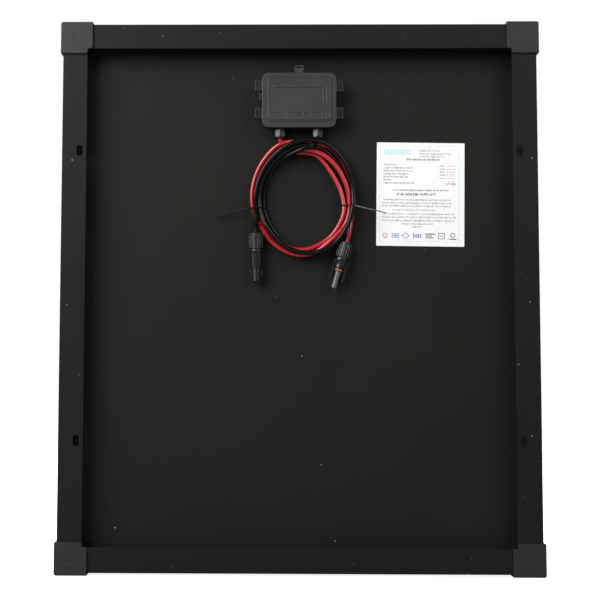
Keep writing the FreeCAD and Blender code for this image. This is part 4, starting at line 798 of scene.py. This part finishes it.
def wire_tie(node, material, height, x0, x1, knot, tail):
    """Coated wire drawn twice round the strands, twisted on itself, with a long free tail."""
    knot_x, knot_y = knot
    loop = around(crossings(height, x0, x1))
    start = min(range(len(loop)),
                key=lambda i: (loop[i].x - knot_x) ** 2 + (loop[i].y - knot_y) ** 2)
    loop = loop[start:] + loop[:start]
    outward = Vector((knot_x, knot_y, 0)) - loop[0]
    wires = []
    for turn, lift in ((0, 0.42), (1, -0.40)):
        line = []
        for i, point in enumerate(loop + [loop[0]]):
            share = i / len(loop)
            wobble = 0.12 * math.sin(2 * math.pi * (2 * share + 0.4 * turn))
            z = height + lift * (1 - abs(2 * share - 1) * 0.3) + wobble
            line.append(Vector((point.x, point.y, z)))
        wires.append(sweep(line, LOOP_WIRE, sides=12))
    # twisted pair from the loop to the tail end
    first = loop[0] + Vector((0, 0, height)) - outward * 0.1
    axis = catmull([tuple(first)] + tail, step=0.35)
    for side in (0, 1):
        line, length = [], 0.0
        normal = Vector((0, 1, 0))
        for i, point in enumerate(axis):
            if i:
                length += (point - axis[i - 1]).length
            tangent = (axis[min(i + 1, len(axis) - 1)] - axis[max(i - 1, 0)]).normalized()
            normal = (normal - tangent * normal.dot(tangent)).normalized()
            across = tangent.cross(normal)
            angle = 2 * math.pi * length / TWIST_PITCH + math.pi * side
            spoke = normal * math.cos(angle) + across * math.sin(angle)
            line.append(point + spoke * TWIST_RADIUS)
        # the second wire ends a little short of the first
        wires.append(sweep(line[:-1 - 9 * side], TAIL_WIRE, sides=10))
    name = node + "_wire"
    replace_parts(place(name, join_meshes(name, wires), material), node)


wire_tie("tie_left", "tie_coating", height=412.9, x0=-62.0, x1=-36.0, knot=(-55.0, 0.1),
         tail=[(-55.2, 0.0, 412.3), (-59.4, 0.8, 410.3), (-66.0, 2.0, 408.8),
               (-73.0, 3.2, 407.2), (-84.5, 4.5, 404.1), (-96.0, 4.2, 402.1)])
# the right tie's tail past the knot carries a painted highlight
wire_tie("tie_right", "tie_coating_painted_highlight", height=415.4, x0=48.0, x1=70.0, knot=(63.4, -8.1),
         tail=[(63.9, -8.3, 414.7), (67.5, -8.4, 413.6), (77.5, -6.6, 411.5),
               (88.2, -3.2, 409.6), (93.5, -1.2, 408.7), (100.1, 0.6, 407.2)])


# --------------------------------------------------- clear layer over the cells
def clear_sheet(name, node, y_back, y_front, nx=36, nz=42):
    """Bonded clear layer: soft ripple on both faces, trimmed corners."""
    inset, trim, ripple = 0.0001, 0.0012, 0.000006  # metres
    corners = nodes[node].bound_box
    x0, x1 = min(c[0] for c in corners) + inset, max(c[0] for c in corners) - inset
    z0, z1 = min(c[2] for c in corners) + inset, max(c[2] for c in corners) - inset
    verts, faces = [], []
    for side, y in enumerate((y_back, y_front)):
        for j in range(nz + 1):
            for i in range(nx + 1):
                x, z = x0 + (x1 - x0) * i / nx, z0 + (z1 - z0) * j / nz
                if i in (0, nx) and j in (0, nz):
                    x += trim if i == 0 else -trim
                    z += trim if j == 0 else -trim
                wave = ripple * math.sin(x * 61 + 1.7 * side) * math.cos(z * 47)
                verts.append((x, y * MM + wave, z))
    row, layer = nx + 1, (nx + 1) * (nz + 1)
    for j in range(nz):
        for i in range(nx):
            a = j * row + i
            faces.append((a, a + 1, a + row + 1, a + row))
            faces.append((layer + a, layer + a + row, layer + a + row + 1, layer + a + 1))
    rim = list(range(nx)) + [nx + j * row for j in range(nz)]
    rim += [nz * row + nx - i for i in range(nx)] + [(nz - j) * row for j in range(nz)]
    for a, b in zip(rim, rim[1:] + rim[:1]):
        faces.append((a, layer + a, layer + b, b))
    mesh = bpy.data.meshes.new(name)
    mesh.from_pydata(verts, [], faces)
    face_outward(mesh)
    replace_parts(place(name, mesh, "encapsulant_clear", smooth=False), node)


clear_sheet("front_encapsulant_layer", "front_encapsulant", y_back=9.74, y_front=10.03)

# ----------------------------------------------------------------- label print
LABEL_W, LABEL_H = 101.0, 120.0
LABEL_X, LABEL_Y, LABEL_Z = 140.0, 8.45, 430.0  # centre of the label's back-facing side
LABEL_TURN = math.radians(0.73)
INK_PROUD, INK_SUNK = 0.03, 0.01


def on_label(u, v):
    """x and z of a point on the label; u right, v down from its top left corner, in mm."""
    dx, dz = u - LABEL_W / 2, LABEL_H / 2 - v
    c, s = math.cos(LABEL_TURN), math.sin(LABEL_TURN)
    return (LABEL_X + dx * c + dz * s, LABEL_Z - dx * s + dz * c)


class Print:
    """Thin shapes of one ink on the label."""

    def __init__(self):
        self.verts, self.faces = [], []

    def poly(self, outline):
        """Closed flake of ink: its face stands off the label, its foot is just inside."""
        base, count = len(self.verts), len(outline)
        for y in (LABEL_Y - INK_PROUD, LABEL_Y + INK_SUNK):
            for u, v in outline:
                x, z = on_label(u, v)
                self.verts.append((x * MM, y * MM, z * MM))
        self.faces.append(tuple(range(base, base + count)))
        self.faces.append(tuple(range(base + count, base + 2 * count))[::-1])
        for k in range(count):
            k2 = (k + 1) % count
            self.faces.append((base + k, base + count + k, base + count + k2, base + k2))

    def bar(self, u0, u1, v0, v1):
        self.poly([(u0, v0), (u1, v0), (u1, v1), (u0, v1)])

    def ring(self, u, v, inner, outer, count=24):
        for k in range(count):
            a, b = 2 * math.pi * k / count, 2 * math.pi * (k + 1) / count
            self.poly([(u + r * math.cos(t), v + r * math.sin(t))
                       for r, t in ((inner, a), (outer, a), (outer, b), (inner, b))])

    def frame(self, u0, v0, u1, v1, width):
        self.bar(u0, u1, v0, v0 + width)
        self.bar(u0, u1, v1 - width, v1)
        self.bar(u0, u0 + width, v0 + width, v1 - width)
        self.bar(u1 - width, u1, v0 + width, v1 - width)

    def words(self, v, u0, u1, h, weight=1.0):
        """A row of small blocks, h high, with the rhythm of small print; no letters."""
        u = u0
        while u < u1 - 0.4:
            for _ in range(rng.randint(2, 9)):
                width = rng.uniform(0.42, 0.62) * h * 0.8
                if u + width > u1:
                    return
                top = rng.choice((0.0, 0.0, 0.28))
                bottom = rng.choice((0.0, 0.0, 0.0, 0.2))
                kind = rng.random()
                stroke = 0.20 * h * weight
                v0, v1 = v - h / 2 + top * h, v + h / 2 - bottom * h
                if kind < 0.45:
                    self.bar(u, u + stroke, v0, v1)
                    self.bar(u + stroke, u + width, v0, v0 + stroke)
                elif kind < 0.8:
                    self.bar(u, u + stroke, v0, v1)
                    self.bar(u + width - stroke, u + width, v0 + stroke, v1)
                    self.bar(u + stroke, u + width - stroke, v1 - stroke, v1)
                else:
                    self.bar(u + width * 0.35, u + width * 0.35 + stroke, v0, v1)
                u += width + 0.17 * h
            u += 0.42 * h

    def build(self, name, material):
        mesh = bpy.data.meshes.new(name)
        mesh.from_pydata(self.verts, [], self.faces)
        face_outward(mesh)
        place(name, mesh, material, smooth=False)


grey, dark, pale, cyan, pink, blue, rust = (Print() for _ in range(7))
pale.frame(3.8, 3.7, 95.1, 115.0, width=0.35)
# header: a plain bar motif at the left, three lines at the right
for k in range(6):
    cyan.frame(8.0 + k * 5.3, 8.4, 12.2 + k * 5.3, 12.9, width=0.75)
cyan.bar(8.0, 39.0, 14.0, 14.35)
for v, end in ((9.2, 74), (12.9, 86), (15.9, 78)):
    grey.words(v, 49, end, h=1.7)
dark.words(19.6, 34, 73, h=2.3, weight=1.3)
# table: names, units, values
for v, end in ((25.7, 24), (29.4, 43), (32.9, 42), (36.6, 38), (39.9, 37), (43.4, 17), (47.1, 43.5)):
    dark.words(v, 8, end, h=1.75)
TABLE_ROWS = (26.6, 30.3, 33.7, 37.4, 41.1, 44.8)
for v in TABLE_ROWS[:-1]:
    grey.words(v, 72.7, 78.7, h=1.7)
for v in TABLE_ROWS:
    pink.words(v, 80.5, 91, h=1.9, weight=1.2)
dark.words(47.7, 79.6, 92, h=1.9, weight=1.2)
dark.words(55.2, 18.7, 82.8, h=1.9, weight=1.1)
dark.words(60.0, 23, 68.5, h=2.9, weight=1.5)
# block of small print
for v, start, end in (
        (66.5, 8, 85.6), (70.2, 6.7, 88.4), (73.7, 6.3, 86), (78.3, 18.7, 68.5), (82.9, 8, 89.3),
        (86.6, 6.7, 92.5), (90.5, 6.7, 89.7), (94.4, 29.8, 65.8), (97.7, 41.3, 52.9)):
    grey.words(v, start, end, h=1.75, weight=1.05)
# bottom row: plain shapes only
rust.ring(10.2, 108.0, inner=2.2, outer=3.0)
rust.bar(9.6, 10.8, 107.4, 108.6)
blue.frame(17.8, 105.6, 26.0, 110.4, width=0.7)
blue.bar(19.6, 24.2, 107.3, 108.7)
blue.ring(33.7, 108.0, inner=2.6, outer=3.3)
blue.bar(28.9, 31.0, 107.6, 108.4)
blue.bar(36.4, 38.6, 107.6, 108.4)
for k in range(4):
    blue.bar(42.3 + k * 2.6, 43.9 + k * 2.6, 105.6 + 0.6 * (k % 2), 110.4)
dark.bar(56.5, 67.2, 105.2, 106.4)
dark.bar(56.5, 64.0, 107.6, 108.6)
dark.bar(56.5, 66.0, 109.8, 110.8)
dark.frame(71.2, 104.4, 78.4, 111.6, width=0.7)
dark.bar(73.0, 76.6, 107.6, 108.4)
dark.ring(87.6, 107.0, inner=2.0, outer=2.8)
dark.bar(83.3, 92.0, 111.0, 112.0)
pale.build("label_border", "ink_pale")
for shade, shapes in (("grey", grey), ("dark", dark), ("cyan", cyan), ("pink", pink),
                      ("blue", blue), ("rust", rust)):
    shapes.build("label_print_" + shade, "ink_" + shade)

# ------------------------------------------------ fine moulded beads on the lid
BEAD_Y = -12.2
# bead radius, then its corners as x, z
LID_BEADS = (
    (0.3, [(-34.6, 512.9), (-34.6, 561.7), (35.4, 561.7), (35.4, 512.9)]),
    (0.22, [(-30.5, 531.0), (-30.5, 554.6), (26.0, 554.6)]),
    (0.22, [(-30.5, 531.0), (26.6, 531.0)]),
    (0.18, [(-30.5, 527.2), (33.5, 527.2)]),
)


def lid_beads(name):
    """Raised round mould lines."""
    made = []
    for radius, corners in LID_BEADS:
        for (x0, z0), (x1, z1) in zip(corners, corners[1:]):
            count = max(2, int(math.hypot(x1 - x0, z1 - z0) / 2.0))
            line = [Vector((x0 + (x1 - x0) * k / count, BEAD_Y, z0 + (z1 - z0) * k / count))
                    for k in range(count + 1)]
            made.append(sweep(line, radius, sides=10))
    place(name, join_meshes(name, made), "box_plastic", body="lid")


lid_beads("lid_mould_lines")

# -------------------------------------------------------------- chips and dust
CHIP_Y = -15.02  # on the back of the frame
DUST_Y = 8.58    # on the back of the sheet
# x, z, size
CHIPS = [
    (-200.8, 618.5, 0.55), (-156.0, 609.1, 0.6), (-258.4, 465.6, 0.6), (263.2, 467.9, 0.7),
    (258.7, 155.2, 0.5), (-262.0, 300.4, 0.35), (-247.5, 222.0, 0.3), (256.1, 331.0, 0.3),
    (-90.2, 612.4, 0.3), (120.6, 607.0, 0.3), (60.1, 14.2, 0.35), (-140.7, 9.8, 0.3),
    (190.3, 20.6, 0.35), (248.8, 88.1, 0.3), (-266.0, 96.6, 0.3),
]
LARGE_GRAINS = [(3.6, 243.9, 0.7), (25.1, 120.5, 0.75), (40.8, 35.5, 0.6), (144.7, 365.7, 0.55)]


def scatter(name, spots, y, material):
    """Small irregular flattened grains lying on a face."""
    bm = bmesh.new()
    for x, z, size in spots:
        made = bmesh.ops.create_icosphere(bm, subdivisions=2, radius=1.0)["verts"]
        size_x, size_z = size * rng.uniform(0.8, 1.3), size * rng.uniform(0.6, 1.1)
        angle = rng.uniform(0, math.pi)
        c, s = math.cos(angle), math.sin(angle)
        for vert in made:
            bulge = 1.0 + 0.28 * math.sin(7.1 * vert.co.x + x) * math.cos(5.3 * vert.co.z + z)
            px, pz = vert.co.x * size_x * bulge, vert.co.z * size_z * bulge
            vert.co = Vector((x + px * c - pz * s, y + vert.co.y * size * 0.18,
                              z + px * s + pz * c)) * MM
    mesh = bpy.data.meshes.new(name)
    bm.to_mesh(mesh)
    bm.free()
    place(name, mesh, material)


def on_open_sheet(x, z):
    """Clear of the junction box and coil, and of the label."""
    return (not (-62 < x < 108 and 330 < z < 590)
            and not (86 < x < 194 and 368 < z < 492))


scatter("frame_chips", CHIPS, CHIP_Y, "bare_chip")
grains = LARGE_GRAINS + [(rng.uniform(-235, 235), rng.uniform(35, 585), rng.uniform(0.12, 0.3))
                         for _ in range(70)]
grains = [grain for grain in grains if on_open_sheet(grain[0], grain[1])]
scatter("sheet_dust", grains, DUST_Y, "pale_dust")


# --------------------------------------------------- floor, world, lights, camera
def floor(half=6.0, z=-0.0006):
    """White floor: bright to the camera, darker to every other ray."""
    mesh = bpy.data.meshes.new("floor")
    mesh.from_pydata([(-half, -half, z), (half, -half, z), (half, half, z), (-half, half, z)],
                     [], [(0, 1, 2, 3)])
    ob = bpy.data.objects.new("floor", mesh)
    scene.collection.objects.link(ob)
    m = Shader("floor_paper")
    m.set(color=m.fade(m.noise(scale=3.0), start=0.3, end=0.7,
                       first=(0.80, 0.80, 0.80), second=(0.83, 0.83, 0.83)),
          rough=0.9, specular=0.1)
    seen = m.node("ShaderNodeLightPath").outputs["Is Camera Ray"]
    glow = m.node("ShaderNodeEmission", Color=(1, 1, 1, 1), Strength=0.88)
    bright = m.node("ShaderNodeAddShader")
    m.link(m.principled.outputs[0], bright.inputs[0])
    m.link(glow.outputs[0], bright.inputs[1])
    dim = m.node("ShaderNodeBsdfDiffuse", Color=(0.35, 0.35, 0.35, 1))
    m.mix_shader(seen, dim.outputs[0], bright.outputs[0])
    mesh.materials.append(MATERIALS["floor_paper"])


def studio_world():
    """White to the camera, a dim cool fill for everything else."""
    world = bpy.data.worlds.new("studio")
    scene.world = world
    world.use_nodes = True
    tree = world.node_tree
    tree.nodes.clear()
    output = tree.nodes.new("ShaderNodeOutputWorld")
    path = tree.nodes.new("ShaderNodeLightPath")
    mixer = tree.nodes.new("ShaderNodeMixShader")
    tree.links.new(path.outputs["Is Camera Ray"], mixer.inputs[0])
    for socket, color, strength in ((2, (1, 1, 1, 1), 1.0), (1, (0.93, 0.96, 1.0, 1), 0.2)):
        background = tree.nodes.new("ShaderNodeBackground")
        background.inputs["Color"].default_value = color
        background.inputs["Strength"].default_value = strength
        tree.links.new(background.outputs[0], mixer.inputs[socket])
    tree.links.new(mixer.outputs[0], output.inputs[0])


def area(name, location, target, size, power, color):
    light = bpy.data.lights.new(name, "AREA")
    light.shape = "RECTANGLE"
    light.size = light.size_y = size
    light.energy = power
    light.color = color
    ob = bpy.data.objects.new(name, light)
    scene.collection.objects.link(ob)
    ob.location = location
    aim = Vector(target) - Vector(location)
    ob.rotation_euler = aim.to_track_quat("-Z", "Y").to_euler()


def add_camera():
    data = bpy.data.cameras.new("camera")
    data.sensor_width = 36.0
    data.lens = 69.184
    data.shift_x = 0.07661
    data.shift_y = -0.01047
    ob = bpy.data.objects.new("camera", data)
    scene.collection.objects.link(ob)
    ob.location = (-0.03457, -1.3099, 0.22245)
    ob.rotation_euler = [math.radians(angle) for angle in (94.0187, -0.140, 0.717)]
    scene.camera = ob


floor()
studio_world()
COOL, WARM = (0.98, 0.99, 1.0), (1.0, 0.99, 0.97)
area("key", (-1.0, -0.95, 1.1), target=(0.0, 0.0, 0.34), size=1.2, power=34.0, color=COOL)
area("side", (0.95, -1.05, 1.2), target=(0.0, 0.0, 0.3), size=1.0, power=11.0, color=WARM)
area("front_face", (-0.9, 1.5, 1.1), target=(0.0, 0.0, 0.3), size=1.2, power=26.0, color=COOL)
area("far_side", (1.5, 0.75, 0.8), target=(0.2, 0.0, 0.3), size=0.9, power=20.0, color=WARM)
add_camera()
scene.view_settings.view_transform = "Standard"
scene.view_settings.look = "None"
scene.view_settings.exposure = 0.0
scene.view_settings.gamma = 1.0
